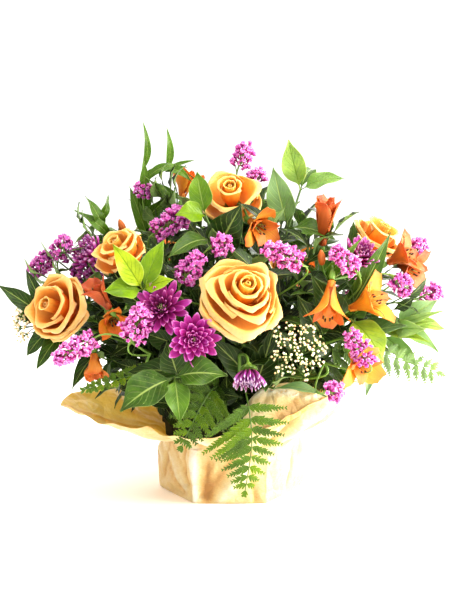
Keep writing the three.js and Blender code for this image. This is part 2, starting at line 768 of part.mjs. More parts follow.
function leafBlade(leaf, swing, options = {}) {
  const root = vec(leaf.root);
  const along = vec(leaf.tip).sub(root);
  const length = along.length();
  const direction = swung(along.normalize(), swing);
  const surface = leafSurface(root, direction, length, leaf.wide, vec(leaf.face), options);
  return blade(surface, { stations: options.stations, thick: options.thick });
}

const growLeaf = (leaf, options) => firstClear((swing) => leafBlade(leaf, swing, options));

function leafyStem({ name, via, leaves }) {
  const stem = growStem(name, via, 1.8, 5, 3);
  const grown = leaves.map((leaf) => {
    const nearest = nearestOn(stem, vec(leaf.root));
    return growLeaf({ ...leaf, root: nearest.toArray() });
  });
  addNode("leafy_stem_" + name, "leaf", [stem.solid, ...grown]);
}

// Ferns: a rachis with pairs of pinnae, each one arched blade whose outline is cut into lobes
function pinna(root, direction, length, face, lobes) {
  const normal = face.clone().addScaledVector(direction, -face.dot(direction)).normalize();
  const side = direction.clone().cross(normal).normalize();
  const rings = [];
  const section = (v, half, ahead, thick = 0.9) => {
    const droop = -0.16 * length * v * v;
    const middle = root.clone().addScaledVector(direction, length * v).addScaledVector(normal, droop);
    const edge = (sign) =>
      middle.clone().addScaledVector(side, sign * half).addScaledVector(direction, ahead);
    return [edge(-1), edge(1), middle.clone().addScaledVector(normal, -thick)];
  };
  rings.push(section(0.01, 0.5, 0, 0.4));
  for (let k = 0; k < lobes; k++) {
    const v = (k + 0.55) / (lobes + 0.8);
    const half = length * 0.13 * (1 - 0.55 * (k / lobes)) + 0.8;
    rings.push(section(v, half, half * 0.6), section(v + 0.5 / (lobes + 0.8), half * 0.34, 0));
  }
  rings.push([section(1, 0, 0)[0]]);
  return loft(rings);
}

function fernFrond({ name, via, from, pairs, reach, lobes, up: faceUp }) {
  const stem = growStem(name, via, 1.6, 8, 3);
  const face = vec(faceUp).normalize();
  const grown = [];
  for (let k = 0; k < pairs; k++) {
    const share = k / pairs;
    const t = mix(from, 0.97, share ** 0.92);
    const place = stem.at(t);
    const ahead = stem.ahead(t);
    const side = ahead.clone().cross(face).normalize();
    const length = reach * (1 - 0.8 * share ** 1.2) * (k === 0 ? 0.92 : 1);
    const cuts = Math.max(1, Math.round(lobes * (1 - share * 0.8)));
    for (const sign of [-1, 1]) {
      const direction = side.clone().multiplyScalar(sign).addScaledVector(ahead, 0.55).normalize();
      grown.push(firstClear((swing) => pinna(place, swung(direction, swing), length, face, cuts)));
    }
  }
  const tip = stem.at(0.985);
  const onwards = stem.ahead(0.985);
  grown.push(firstClear((swing) => pinna(tip, swung(onwards, swing), reach * 0.26, face, 1)));
  addNode("fern_frond_" + name, "fern", [stem.solid, ...grown]);
}

// Rose: a tight bud in rings of petals that open and roll out from a small receptacle, all of
// them blades of their own in the largest rose
const rosePetalRings = [
  {
    count: 3,
    start: 0,
    span: 58,
    radii: [3.5, 13, 17, 15.5],
    heights: [7.5, 20, 36, 49],
    round: 3,
  },
  {
    count: 4,
    start: 30,
    span: 44,
    radii: [4, 17, 25, 27],
    heights: [4, 16, 33, 44],
    round: 5,
  },
  {
    count: 5,
    start: 8,
    span: 36,
    radii: [4, 22, 33, 40],
    heights: [1.5, 9, 25, 33],
    round: 6,
  },
];
const roseSize = 76; // the size that the rings above are given for

function roseHead(scale) {
  const receptacle = lathe([[0, 0], [6.5, 1], [6.5, 9], [0, 13]], 6);
  const bud = lathe([[0, 9], [3, 9], [10, 26], [4, 49], [0, 45]], 6);
  const pieces = [receptacle, bud];
  for (const ring of rosePetalRings) {
    for (let i = 0; i < ring.count; i++) {
      const middle = radians(ring.start + (360 * i) / ring.count);
      const surface = (u, v) => {
        const open = 0.2 + 0.8 * Math.sin((Math.PI / 2) * Math.min(1, 1.7 * v));
        const angle = middle + radians(ring.span) * open * u;
        const radius = smoothPick(ring.radii, v) + 1.7 * u * Math.min(1, 3 * v);
        const height = smoothPick(ring.heights, v) - ring.round * u * u * v * v;
        return new THREE.Vector3(radius * Math.cos(angle), radius * Math.sin(angle), height);
      };
      const stations = ring.count > 3 ? [0, 0.36, 0.7, 1] : [0, 0.46, 1];
      pieces.push(blade(surface, { stations, thick: 1.3, pointed: false }));
    }
  }
  return wasm.Manifold.union(pieces).scale([scale, scale, scale]);
}

// The smaller roses are one closed skin of four rows of petals, each with a valley inside it.
// A petal of a row is given at its two sides, its two corners and its tip.
const roseRows = [
  { count: 5, start: 0, side: [27, 23], corner: [38, 29], tip: [41, 30], valley: [23, 21] },
  { count: 5, start: 0.45, side: [20, 30], corner: [28, 38], tip: [30, 42], valley: [15, 29] },
  { count: 4, start: 0.2, side: [13, 37], corner: [18, 44], tip: [19, 46], valley: [9.5, 36] },
  { count: 3, start: 0.6, side: [8, 41], corner: [10, 47], tip: [9, 49], valley: [4, 40] },
];

function roseSkin(scale) {
  const rings = [[[0, 0, 0]], evenRing(5, 6, 0), evenRing(5, 22, 8)];
  for (const { count, start, side, corner, tip, valley } of roseRows) {
    const rim = Array.from({ length: count }, (_, i) => {
      const at = (share, [radius, height]) => [(i + share + start) / count, radius, height];
      return [at(0, side), at(0.2, corner), at(0.5, tip), at(0.8, corner)];
    });
    rings.push(rim.flat(), evenRing(count, ...valley, start));
  }
  rings.push([[0, 0, 36]]);
  return stack(rings).scale([scale, scale, scale]);
}

const placed = (solid, matrix) => solid.transform(matrix.toArray());

function rose({ name, at, facing, across, turn, full = false }) {
  const scale = across / roseSize;
  const direction = vec(facing).normalize();
  const base = vec(at).addScaledVector(direction, -26 * scale);
  const head = placed(full ? roseHead(scale) : roseSkin(scale), frameAt(base, direction, turn));
  addNode("rose_" + name, "rose", [head]);
  return { name, base, direction, scale };
}

// The stem, its calyx with five sepals, and two leaves below the bloom
function roseStem({ name, base, direction, scale }) {
  const seat = base.clone().addScaledVector(direction, -gap - 0.05);
  const points = stemPoints(seat.clone().addScaledVector(direction, -3), direction, 46 * scale);
  const stem = growStem("rose_stem_" + name, points, 2.1, 5, 4);
  const frame = frameAt(seat, direction);
  const calyx = firstClear(([, start]) => {
    const reach = 20 * scale + 3;
    const sepals = { count: 5, reach, notch: 4, half: 3, lift: -24, from: 3.4, height: -1.8, pointed: true };
    const rim = petalRim({ ...sepals, start: (start + 40) / 100 });
    return placed(stack([[[0, 0, -9]], evenRing(5, 2.4, -8), rim, evenRing(5, 3.8, 0), [[0, 0, 0]]]), frame);
  });
  const pieces = [stem.solid, calyx];
  for (const [t, turn] of [[0.72, 0.6], [0.58, -1.1]]) {
    const place = stem.at(t);
    const ahead = stem.ahead(t);
    const side = ahead.clone().cross(up).applyAxisAngle(ahead, turn).normalize();
    const tip = place.clone().addScaledVector(side, 40).addScaledVector(ahead, 22);
    const leaf = { root: place.toArray(), tip: tip.toArray(), wide: 24, face: ahead.toArray() };
    pieces.push(growLeaf(leaf));
  }
  addNode("rose_stem_" + name, "stem", pieces);
}

// Mum: three whorls of strap petals, one above the other, skinned as one closed flower
const mumWhorls = [
  { count: 12, reach: 1, notch: 0.5, half: 0.17, lift: 2, from: 0.3, height: 0.7, start: 0 },
  { count: 9, reach: 0.86, notch: 0.44, half: 0.17, lift: 31, from: 0.26, height: 3.6, start: 0.3 },
  { count: 6, reach: 0.6, notch: 0.3, half: 0.15, lift: 60, from: 0.18, height: 6, start: 0.1 },
];

function mum({ name, at, facing, across, open }) {
  const direction = vec(facing).normalize();
  const size = across / 2;
  const [outer, middle, inner] = mumWhorls.map((each) => petalRim({
    ...each,
    reach: size * each.reach,
    notch: size * each.notch,
    half: size * each.half,
    from: size * each.from,
    lift: mix(74, each.lift, open),
  }));
  const flower = stack([
    [[0, 0, -1]],
    evenRing(6, size * 0.28, -1),
    outer,
    evenRing(6, size * 0.28, 2.2),
    middle,
    evenRing(6, size * 0.2, 4.8),
    inner,
    [[0, 0, 6.4]],
  ]);
  const base = vec(at).addScaledVector(direction, -5);
  addNode("mum_" + name, "mum", [placed(flower, frameAt(base, direction))]);
  return { base, direction };
}

// One branched stem under each group of mums, with a green cup behind every head
function mumStem(name, heads, fork) {
  const trunk = growStem("mum_stem_" + name, stemPoints(vec(fork), up, 20), 1.8, 4, 3);
  const from = trunk.at(0.96);
  const pieces = [trunk.solid];
  for (const { base, direction } of heads) {
    const seat = base.clone().addScaledVector(direction, -1 - gap);
    const behind = seat.clone().addScaledVector(direction, -16);
    pieces.push(placed(lathe([[0, -6], [2, -6], [6, 0], [0, 0]], 6), frameAt(seat, direction)));
    pieces.push(branch(from, behind, seat.clone().addScaledVector(direction, -2), 1.3));
  }
  addNode("mum_stem_" + name, "stem", pieces);
}

// Millimetres by which the middle of a side branch is moved, tried in turn until it is clear
const bows = [
  [0, 0, 0], [0, 0, 9], [9, 0, 0], [-9, 0, 0], [0, 9, 0], [0, -9, 0], [0, 0, -9],
  [14, 0, 10], [-14, 0, 10], [0, 14, 10], [0, -14, 10], [0, 24, 0], [22, 0, 0], [-22, 0, 0],
];

// A side branch from a fork to a seat
function branch(from, behind, seat, radius) {
  for (const bow of bows) {
    const middle = behind.clone().add(vec(bow));
    const curve = new THREE.CubicBezierCurve3(from, mixPoint(from, middle, 0.6), middle, seat);
    const solid = rod(alongCurve(curve, 3), radius, 3);
    if (isClear(solid)) return solid;
  }
  return null;
}

const mixPoint = (a, b, t) => a.clone().lerp(b, t);

// Alstroemeria: six tepals in two whorls that flare into a trumpet, with stamens inside
function alstroemeria({ name, at, facing, length, open, stamens = 0 }) {
  const direction = vec(facing).normalize();
  const throat = lathe([[0, 0], [3.6, 1.5], [3.4, 7.5], [0, 9]], 6);
  const pieces = [throat];
  for (let i = 0; i < 6; i++) {
    const outer = i % 2 === 0;
    const middle = radians(60 * i);
    const wide = outer ? 12 : 8;
    const surface = (u, v) => {
      const flare = open * (outer ? 24 : 17);
      const radius = (outer ? 3.4 : 2) + (outer ? 4.6 : 2.6) * v + flare * v ** 2.2;
      const height = 3 + length * (0.92 * v - 0.2 * open * v ** 3);
      const half = wide * Math.sin(Math.PI * (0.06 + 0.88 * v)) * (0.6 + 0.4 * open);
      const angle = middle + Math.min(half / radius, 0.94) * u;
      return new THREE.Vector3(radius * Math.cos(angle), radius * Math.sin(angle), height);
    };
    pieces.push(blade(surface, { stations: [0, 0.3, 0.72, 1], thick: 1.1 }));
  }
  for (let i = 0; i < stamens; i++) {
    const angle = radians(120 * i + 30);
    const root = new THREE.Vector3(Math.cos(angle), Math.sin(angle), 8);
    const tip = new THREE.Vector3(5 * Math.cos(angle), 5 * Math.sin(angle), length * 0.78);
    pieces.push(spike(root, tip, 1.3, 0.9, new THREE.Vector3(-Math.cos(angle), -Math.sin(angle), 0.1)));
  }
  const base = vec(at).addScaledVector(direction, -length / 2);
  const flower = placed(wasm.Manifold.union(pieces), frameAt(base, direction));
  addNode("alstroemeria_" + name, "alstroemeria", [flower]);
  return { base, direction };
}

// The umbel stem: a stalk to every flower, narrow twisted leaves and unopened buds
function alstroemeriaStem(name, heads, via, leaves, buds) {
  const trunk = growStem("alstroemeria_stem_" + name, via, 2.2, 6, 3);
  const top = trunk.at(0.97);
  const pieces = [trunk.solid];
  for (const { base, direction } of heads) {
    const seat = base.clone().addScaledVector(direction, -gap - 0.05);
    const ovary = lathe([[0, -9], [3, -4], [2.4, 0], [0, 0]], 5);
    pieces.push(placed(ovary, frameAt(seat, direction)));
    const from = name === "tall_left" ? trunk.at(0.3) : top;
    const behind = seat.clone().addScaledVector(direction, -20);
    pieces.push(branch(from, behind, seat.clone().addScaledVector(direction, -4), 1.1));
  }
  for (const { at, facing, long } of buds) {
    const direction = vec(facing).normalize();
    const base = vec(at).addScaledVector(direction, -long / 2);
    const bud = lathe([[0, 0], [3.6, long * 0.35], [3.2, long * 0.7], [0, long]], 5);
    const whole = (swing) => {
      const way = swung(direction, swing);
      const solid = placed(bud, frameAt(base, way));
      return isClear(solid) ? solid : null;
    };
    const bloom = firstClear(whole);
    const behind = base.clone().addScaledVector(direction, -8);
    const stalk = branch(nearestOn(trunk, base), behind, base.clone().addScaledVector(direction, 1.5), 0.9);
    if (bloom && stalk) pieces.push(bloom, stalk);
  }
  for (const leaf of leaves) {
    const root = nearestOn(trunk, vec(leaf.root)).toArray();
    pieces.push(growLeaf({ ...leaf, root }, { twist: leaf.twist ?? 50, sag: leaf.sag ?? 0.2 }));
  }
  addNode("alstroemeria_stem_" + name, "leaf", pieces);
}

// Statice: a stalk that forks to combs of papery florets. A comb is a stack of small whorls of
// blunt florets round its own axis, which points away from the fork.
function staticeHead(place, along, long, random) {
  const whorls = Math.max(2, Math.round(long / 10.5));
  const step = long / whorls;
  const count = 4;
  const rings = [[[0, 0, -long / 2 - 2]], evenRing(count, 2.4, -long / 2)];
  for (let k = 0; k < whorls; k++) {
    const start = random();
    const height = -long / 2 + (k + 0.45) * step;
    const rim = [];
    for (let i = 0; i < count; i++) {
      const reach = 9 + 3 * random();
      const rise = height + 2 + 4 * random();
      const middle = (i + 0.5 + start) / count;
      const wide = Math.atan2(2.8, reach) / (2 * Math.PI);
      rim.push([(i + start) / count, 3.6, height]);
      rim.push([middle - wide, reach, rise], [middle + wide, reach, rise]);
    }
    rings.push(rim, evenRing(count, k + 1 < whorls ? 2.4 : 1.6, -long / 2 + (k + 1) * step, start));
  }
  rings.push([[0, 0, long / 2 + 5]]);
  return placed(stack(rings), frameAt(place, along));
}

function staticeSpray({ name, fork, heads }, seed) {
  const trunk = growStem("statice_" + name, stemPoints(vec(fork), up, 14), 1.6, 4, 3);
  const from = trunk.at(0.96);
  const pieces = [trunk.solid];
  heads.forEach(({ at, lie, long }, k) => {
    pieces.push(firstClear((swing) => {
      const place = swung(vec(at).sub(from), swing).add(from);
      const away = Math.sign(vec(lie).dot(place.clone().sub(from))) || 1;
      const along = vec(lie).normalize().multiplyScalar(away);
      const head = staticeHead(place, along, long, randomFrom(10 * seed + k));
      if (!isClear(head)) return null;
      const foot = place.clone().addScaledVector(along, 1.5 - long / 2);
      const stalk = branch(from, foot.clone().addScaledVector(along, -18), foot, 1);
      return stalk && wasm.Manifold.union([head, stalk]);
    }));
  });
  addNode("statice_" + name, "statice", pieces);
}

// A straight stalk that starts from a point inside its stem
function taper(from, to, radius) {
  const way = to.clone().sub(from).normalize();
  const side = way.clone().cross(up).normalize();
  const ring = [0, 1, 2].map((k) =>
    to.clone().addScaledVector(side.clone().applyAxisAngle(way, (2 * Math.PI * k) / 3), radius));
  return loft([[from], ring]);
}

// A knot of small buds as one lumpy solid
function budKnot(place, way) {
  const side = way.clone().cross(up).normalize();
  const turned = (angle, radius, height) => place.clone().addScaledVector(way, height)
    .addScaledVector(side.clone().applyAxisAngle(way, angle), radius);
  const ring = (height, radius, shift) => Array.from({ length: 6 }, (_, i) =>
    turned(Math.PI * ((i + shift) / 3), i % 2 ? radius : radius * 0.72, height + (i % 2 ? 1.2 : -1)));
  return loft([[turned(0, 0, -6)], ring(-2, 6.8, 0), ring(2.4, 5.4, 1), [turned(0, 0, 6.5)]]);
}

// Rice flower: stalks that fan out to knots of small round buds over a domed head
function riceFlower({ name, at, facing, across, height, sprigs }) {
  const direction = vec(facing).normalize();
  const place = vec(at);
  const root = place.clone().addScaledVector(direction, -34);
  const trunk = growStem("rice_flower_" + name, stemPoints(root, direction, 12), 1.6, 4, 3);
  const from = trunk.at(0.97);
  const side = direction.clone().cross(up).normalize();
  const rise = side.clone().cross(direction).normalize();
  const pieces = [trunk.solid];
  for (let i = 0; i < sprigs; i++) {
    const far = Math.sqrt((i + 0.5) / sprigs);
    const angle = i * 2.39996;
    const [a, b] = [far * Math.cos(angle), far * Math.sin(angle)];
    const knot = place.clone()
      .addScaledVector(side, (a * across) / 2.4)
      .addScaledVector(rise, (b * height) / 2.4)
      .addScaledVector(direction, -10 * far * far);
    pieces.push(firstClear((swing) => {
      const moved = swung(knot.clone().sub(root), swing).add(root);
      const way = moved.clone().sub(root).normalize();
      const stalk = taper(from, moved, 1.1);
      return wasm.Manifold.union([stalk, budKnot(moved, way)]);
    }));
  }
  addNode("rice_flower_" + name, "rice", pieces);
}

// Assembly: what is fixed comes first, and each later piece is bent clear of it
addNode("paper_wrap", "paper", [paperWrap()]);
addNode("pot", "pot", [pot()]);

const roseHeads = roses.map(rose);
const mumHeads = mums.map(mum);
const flowers = alstroemerias.map(alstroemeria);

roseHeads.forEach(roseStem);
mumStem("left", [mumHeads[0], mumHeads[1], mumHeads[3]], [-62, -52, 166]);
mumStem("front", [mumHeads[2]], [8, -118, 160]);
mumStem("right", [mumHeads[4], mumHeads[5]], [46, 30, 168]);

alstroemeriaStem(
  "right",
  [flowers[0], flowers[1], flowers[2]],
  [[34, -16, 130], [70, -48, 190], [92, -72, 222]],
  [
    { root: [90, -70, 220], tip: [118, -96, 262], wide: 12, face: [0, -0.9, 0.4] },
    { root: [76, -54, 198], tip: [60, -104, 214], wide: 13, face: [0, -0.8, 0.5] },
  ],
  [{ at: [84, -104, 246], facing: [-0.1, -0.5, 0.86], long: 18 }],
);
alstroemeriaStem(
  "top",
  [flowers[3], flowers[4]],
  [[8, 8, 150], [16, 12, 210], [24, 6, 246]],
  [
    { root: [22, 8, 240], tip: [40, 44, 282], wide: 13, face: [0, 0.6, 0.7] },
    { root: [18, 10, 222], tip: [60, 30, 246], wide: 14, face: [0.2, 0.1, 0.95] },
  ],
  [{ at: [40, -52, 258], facing: [0.2, -0.5, 0.8], long: 20 }],
);
alstroemeriaStem(
  "tall_left",
  [flowers[5]],
  [[-30, 8, 140], [-66, 10, 210], [-84, 8, 262], [-88, 8, 300], [-84, 10, 336]],
  [
    { root: [-85, 9, 330], tip: [-86, 8, 372], wide: 9, face: [0.3, -0.9, 0], twist: 40 },
    { root: [-88, 8, 306], tip: [-60, 16, 330], wide: 10, face: [0, -0.3, 0.9], sag: 0.35 },
    { root: [-84, 9, 334], tip: [-62, 18, 362], wide: 9, face: [0, -0.9, 0.2] },
    { root: [-88, 8, 300], tip: [-44, -4, 296], wide: 12, face: [0.1, -0.5, 0.8], sag: 0.4 },
    { root: [-86, 8, 276], tip: [-64, -6, 314], wide: 13, face: [0, -0.9, 0.3] },
    { root: [-84, 8, 262], tip: [-112, 4, 296], wide: 13, face: [-0.2, -0.9, 0.3] },
    { root: [-78, 9, 246], tip: [-150, 2, 282], wide: 14, face: [-0.1, -0.7, 0.6], sag: -0.2 },
    { root: [-80, 9, 250], tip: [-156, -6, 302], wide: 12, face: [-0.1, -0.9, 0.2], sag: -0.3 },
    { root: [-76, 9, 240], tip: [-122, 20, 304], wide: 10, face: [-0.1, -0.9, 0.2], sag: -0.2 },
    { root: [-70, 10, 222], tip: [-158, 10, 258], wide: 15, face: [-0.2, -0.6, 0.7] },
  ],
  [
    { at: [-108, -14, 278], facing: [-0.3, -0.2, 0.9], long: 20 },
  ],
);

riceFlowers.forEach(riceFlower);
statice.forEach((spray, i) => staticeSpray(spray, i + 3));
leafyStems.forEach(leafyStem);
ferns.forEach(fernFrond);

addNode("floral_foam", "foam", [foamBlock().subtract(wasm.Manifold.union(holes))]);

export default bouquet;
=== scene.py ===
import math

import bpy
import numpy as np
from mathutils import Matrix, Quaternion, Vector


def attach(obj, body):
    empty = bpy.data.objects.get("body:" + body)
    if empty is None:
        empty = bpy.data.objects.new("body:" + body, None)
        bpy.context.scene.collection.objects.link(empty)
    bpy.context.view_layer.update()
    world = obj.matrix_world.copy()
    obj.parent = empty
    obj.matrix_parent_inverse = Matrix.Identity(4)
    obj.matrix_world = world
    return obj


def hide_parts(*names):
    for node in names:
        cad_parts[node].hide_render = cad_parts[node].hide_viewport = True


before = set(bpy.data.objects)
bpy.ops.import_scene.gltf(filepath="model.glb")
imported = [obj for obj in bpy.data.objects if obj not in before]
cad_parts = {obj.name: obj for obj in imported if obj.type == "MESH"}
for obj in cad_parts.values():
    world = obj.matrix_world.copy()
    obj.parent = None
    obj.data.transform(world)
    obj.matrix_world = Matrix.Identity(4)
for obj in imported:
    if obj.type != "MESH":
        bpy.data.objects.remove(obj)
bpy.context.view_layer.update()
scene = bpy.context.scene
toMetres = 0.001
goldenAngle = math.radians(137.508)


# Maths helpers
def unit(vector):
    vector = np.asarray(vector, float)
    return vector / np.linalg.norm(vector)


def flow(values, t):
    # a smooth curve through evenly spaced values or points
    values, t = np.asarray(values, float), np.asarray(t, float)
    spot = np.clip(t, 0, 1) * (len(values) - 1)
    index = np.minimum(spot.astype(int), len(values) - 2)
    part = (spot - index).reshape(t.shape + (1,) * (values.ndim - 1))
    before, a, b, after = (values[np.clip(index + k, 0, len(values) - 1)] for k in (-1, 0, 1, 2))
    return 0.5 * (2 * a + (b - before) * part + (2 * before - 5 * a + 4 * b - after) * part**2
                  + (3 * a - before - 3 * b + after) * part**3)


def route(points, steps):
    return flow(points, np.linspace(0, 1, steps))


def blend(a, b, t):
    return a + (b - a) * t


def smoothStep(low, high, value):
    t = np.clip((value - low) / (high - low), 0, 1)
    return t * t * (3 - 2 * t)


def around(radius, angle, height=0.0):
    return np.array([radius * math.cos(angle), radius * math.sin(angle), height])


def rings(radius, angle, height):
    # the same for whole arrays
    return np.stack(np.broadcast_arrays(radius * np.cos(angle), radius * np.sin(angle), height), -1)


def turnAbout(vector, axis, angle):
    return np.array(Quaternion(Vector(axis), angle) @ Vector(vector))


def frameAt(place, direction, turn=0):
    # a frame whose z axis is the given direction
    aimed = Vector((0, 0, 1)).rotation_difference(Vector(direction))
    spun = Matrix.Rotation(math.radians(turn), 4, "Z")
    return np.array(Matrix.Translation(Vector(place)) @ aimed.to_matrix().to_4x4() @ spun)


def moved(points, matrix):
    return points @ matrix[:3, :3].T + matrix[:3, 3]


def rowsOf(names, rows):
    # dictionaries from rows of the named values, with any extras in a dictionary at a row's end
    names = names.split()
    return [dict(zip(names, row), **(row[len(names)] if len(row) > len(names) else {})) for row in rows]


def colour(tint):
    # a web code made linear; any other tint stays as it is
    if not isinstance(tint, int):
        return tint
    parts = [((tint >> shift) & 255) / 255 for shift in (16, 8, 0)]
    return [c / 12.92 if c <= 0.04045 else ((c + 0.055) / 1.055) ** 2.4 for c in parts] + [1]


# Node helpers
class Nodes:
    def __init__(self, tree):
        self.tree = tree

    def put(self, kind, inputs=None, out=0, **settings):
        node = self.tree.nodes.new(kind)
        for key, value in settings.items():
            setattr(node, key, value)
        for key, value in (inputs or {}).items():
            if isinstance(value, bpy.types.NodeSocket):
                self.tree.links.new(value, node.inputs[key])
            else:
                node.inputs[key].default_value = value
        return node if out is None else node.outputs[out]

    def math(self, operation, *values):
        return self.put("ShaderNodeMath", dict(enumerate(values)), operation=operation)

    def times(self, a, b):
        return self.math("MULTIPLY", a, b)

    def plus(self, a, b):
        return self.math("ADD", a, b)

    def timesPlus(self, a, b, c):
        return self.math("MULTIPLY_ADD", a, b, c)

    def vector(self, x, y, z):
        return self.put("ShaderNodeCombineXYZ", {0: x, 1: y, 2: z})

    def parts(self, vector):
        return self.put("ShaderNodeSeparateXYZ", {0: vector}, None).outputs

    def range(self, value, low, high, start=0.0, end=1.0, kind="LINEAR"):
        inputs = {"Value": value, "From Min": start, "From Max": end, "To Min": low, "To Max": high}
        return self.put("ShaderNodeMapRange", inputs, interpolation_type=kind)

    def scatter(self, most, seed):
        # a random vector whose parts lie between -most and most
        inputs = {"Min": self.times(most, -1.0), "Max": most, "Seed": seed}
        return self.put("FunctionNodeRandomValue", inputs, data_type="FLOAT_VECTOR")


class Finish(Nodes):
    # a material, with short words for the marks and the UV map that every piece carries
    def __init__(self, name):
        self.material = bpy.data.materials.new(name)
        self.material.use_nodes = True
        super().__init__(self.material.node_tree)
        self.shader = self.tree.nodes["Principled BSDF"].inputs

    def mark(self, key):
        return self.put("ShaderNodeAttribute", None, "Fac", attribute_name=key)

    def uv(self):
        return self.parts(self.put("ShaderNodeUVMap", uv_map="skinUV"))

    def place(self, scale=None):
        where = self.put("ShaderNodeTexCoord", None, "Object")
        return self.put("ShaderNodeMapping", {"Vector": where, "Scale": scale}) if scale else where

    def noise(self, scale, detail=3.0, rough=0.5, vector=None):
        return self.put("ShaderNodeTexNoise", {
            "Vector": vector or self.place(), "Scale": scale, "Detail": detail, "Roughness": rough})

    def cells(self, scale, feature="F1"):
        return self.put("ShaderNodeTexVoronoi", {"Vector": self.place(), "Scale": scale}, feature=feature)

    def ramp(self, value, stops):
        node = self.put("ShaderNodeValToRGB", {"Fac": value}, None)
        while len(node.color_ramp.elements) < len(stops):
            node.color_ramp.elements.new(0.5)
        for element, (position, tint) in zip(node.color_ramp.elements, stops):
            element.position = position
            element.color = colour(tint)
        return node.outputs["Color"]

    def mix(self, share, a, b, kind="MIX"):
        inputs = {0: share, 6: colour(a), 7: colour(b)}
        return self.put("ShaderNodeMix", inputs, 2, data_type="RGBA", blend_type=kind)

    def close(self, base, grain, rough, height, relief, depth, glow=0.0, glowScale=0.05,
              glowTint=(1.0, 0.2, 0.1), gloss=0.5):
        # colour, roughness between two values, bump in metres, the light that passes through, and gloss
        bump = self.put("ShaderNodeBump", {"Height": height, "Strength": relief, "Distance": depth})
        rough = self.range(grain, *rough)
        for key, socket in {"Base Color": base, "Roughness": rough, "Normal": bump}.items():
            self.tree.links.new(socket, self.shader[key])
        self.shader["Subsurface Weight"].default_value = glow
        self.shader["Subsurface Scale"].default_value = glowScale
        self.shader["Subsurface Radius"].default_value = glowTint
        self.shader["Specular IOR Level"].default_value = gloss
        return self.material


def show(name, data):
    thing = bpy.data.objects.new(name, data)
    scene.collection.objects.link(thing)
    return thing


# Camera, floor and lights
view = {
    "distance": 1.4,
    "elevation": 8,
    "target": (-0.005, 0, 0.192),
    "lens": 84,
    "skyStrength": 1.08,
    "floorReach": 4.0,
    # name, place, size, watts, tint, height of the point it aims at
    "lights": [
        ("window_key", (1.4, -0.45, 0.95), 1.3, 50, (1, 0.97, 0.92), 0.18),
        ("top_soft", (0.1, -0.5, 1.6), 0.9, 14, (1, 0.98, 0.95), 0.18),
        ("front_fill", (-0.7, -1.5, 0.7), 1.2, 3, (1, 0.98, 0.95), 0.18),
        ("back_rim", (0.5, 1.2, 0.8), 0.9, 10, (1, 1, 1), 0.18),
        ("low_right", (1.05, -0.1, 0.16), 0.5, 9, (1, 1, 1), 0.05)],
}


def aimAt(thing, place, target):
    thing.location = place
    thing.rotation_euler = (Vector(target) - thing.location).to_track_quat("-Z", "Y").to_euler()


def setCamera():
    tilt = math.radians(view["elevation"])
    lens = bpy.data.cameras.new("camera")
    lens.lens = view["lens"]
    lens.sensor_width = 36
    scene.camera = show("camera", lens)
    target = Vector(view["target"])
    aimAt(scene.camera, target + view["distance"] * Vector((0, -math.cos(tilt), math.sin(tilt))), target)


def setStudio():
    for name, place, size, watts, tint, height in view["lights"]:
        light = bpy.data.lights.new(name, "AREA")
        light.shape = "DISK"
        light.size = size
        light.energy = watts
        light.color = tint
        aimAt(show(name, light), place, (0, 0, height))
    world = bpy.data.worlds.new("studio")
    world.use_nodes = True
    back = world.node_tree.nodes["Background"].inputs
    back["Color"].default_value = (1, 1, 1, 1)
    back["Strength"].default_value = view["skyStrength"]
    scene.world = world
    scene.view_settings.view_transform = "Standard"
    scene.view_settings.look = "Medium High Contrast"


def layFloor():
    reach = view["floorReach"]
    mesh = bpy.data.meshes.new("floor")
    corners = [(-reach, -reach, 0), (reach, -reach, 0), (reach, reach, 0), (-reach, reach, 0)]
    mesh.from_pydata(corners, [], [(0, 1, 2, 3)])
    floor = show("floor", mesh)
    finish = Finish("white floor")
    grain = finish.put("ShaderNodeTexNoise", {"Scale": 40.0, "Detail": 4.0})
    tone = finish.ramp(grain, [(0.0, (0.97, 0.955, 0.93, 1)), (1.0, (0.99, 0.975, 0.95, 1))])
    finish.tree.links.new(tone, finish.shader["Base Color"])
    finish.shader["Roughness"].default_value = 0.7
    mesh.materials.append(finish.material)


setCamera()
setStudio()
layFloor()
print("camera, floor and lights are set")


# Surfaces. Every thin blade is a grid of points, rows along it and columns across it.
finishes = {}
sources = []


def gridOf(rows, cols, low=-1):
    return np.meshgrid(np.linspace(0, 1, rows), np.linspace(low, 1, cols), indexing="ij")


def ringFaces(rows, cols):
    # quads between closed rings of points
    index = np.arange(rows * cols).reshape(rows, cols)
    ahead = np.roll(index, -1, 1)
    return index, ahead, np.stack([index[:-1], ahead[:-1], ahead[1:], index[1:]], -1).reshape(-1, 4)


def setMark(mesh, key, values, kind="FLOAT"):
    part = "value" if kind == "FLOAT" else "vector"
    mesh.attributes.new(key, kind, "POINT").data.foreach_set(part, np.asarray(values, float).ravel())


def readFrom(data, key, width=1, kind=float):
    values = np.zeros(len(data) * width, kind)
    data.foreach_get(key, values)
    return values


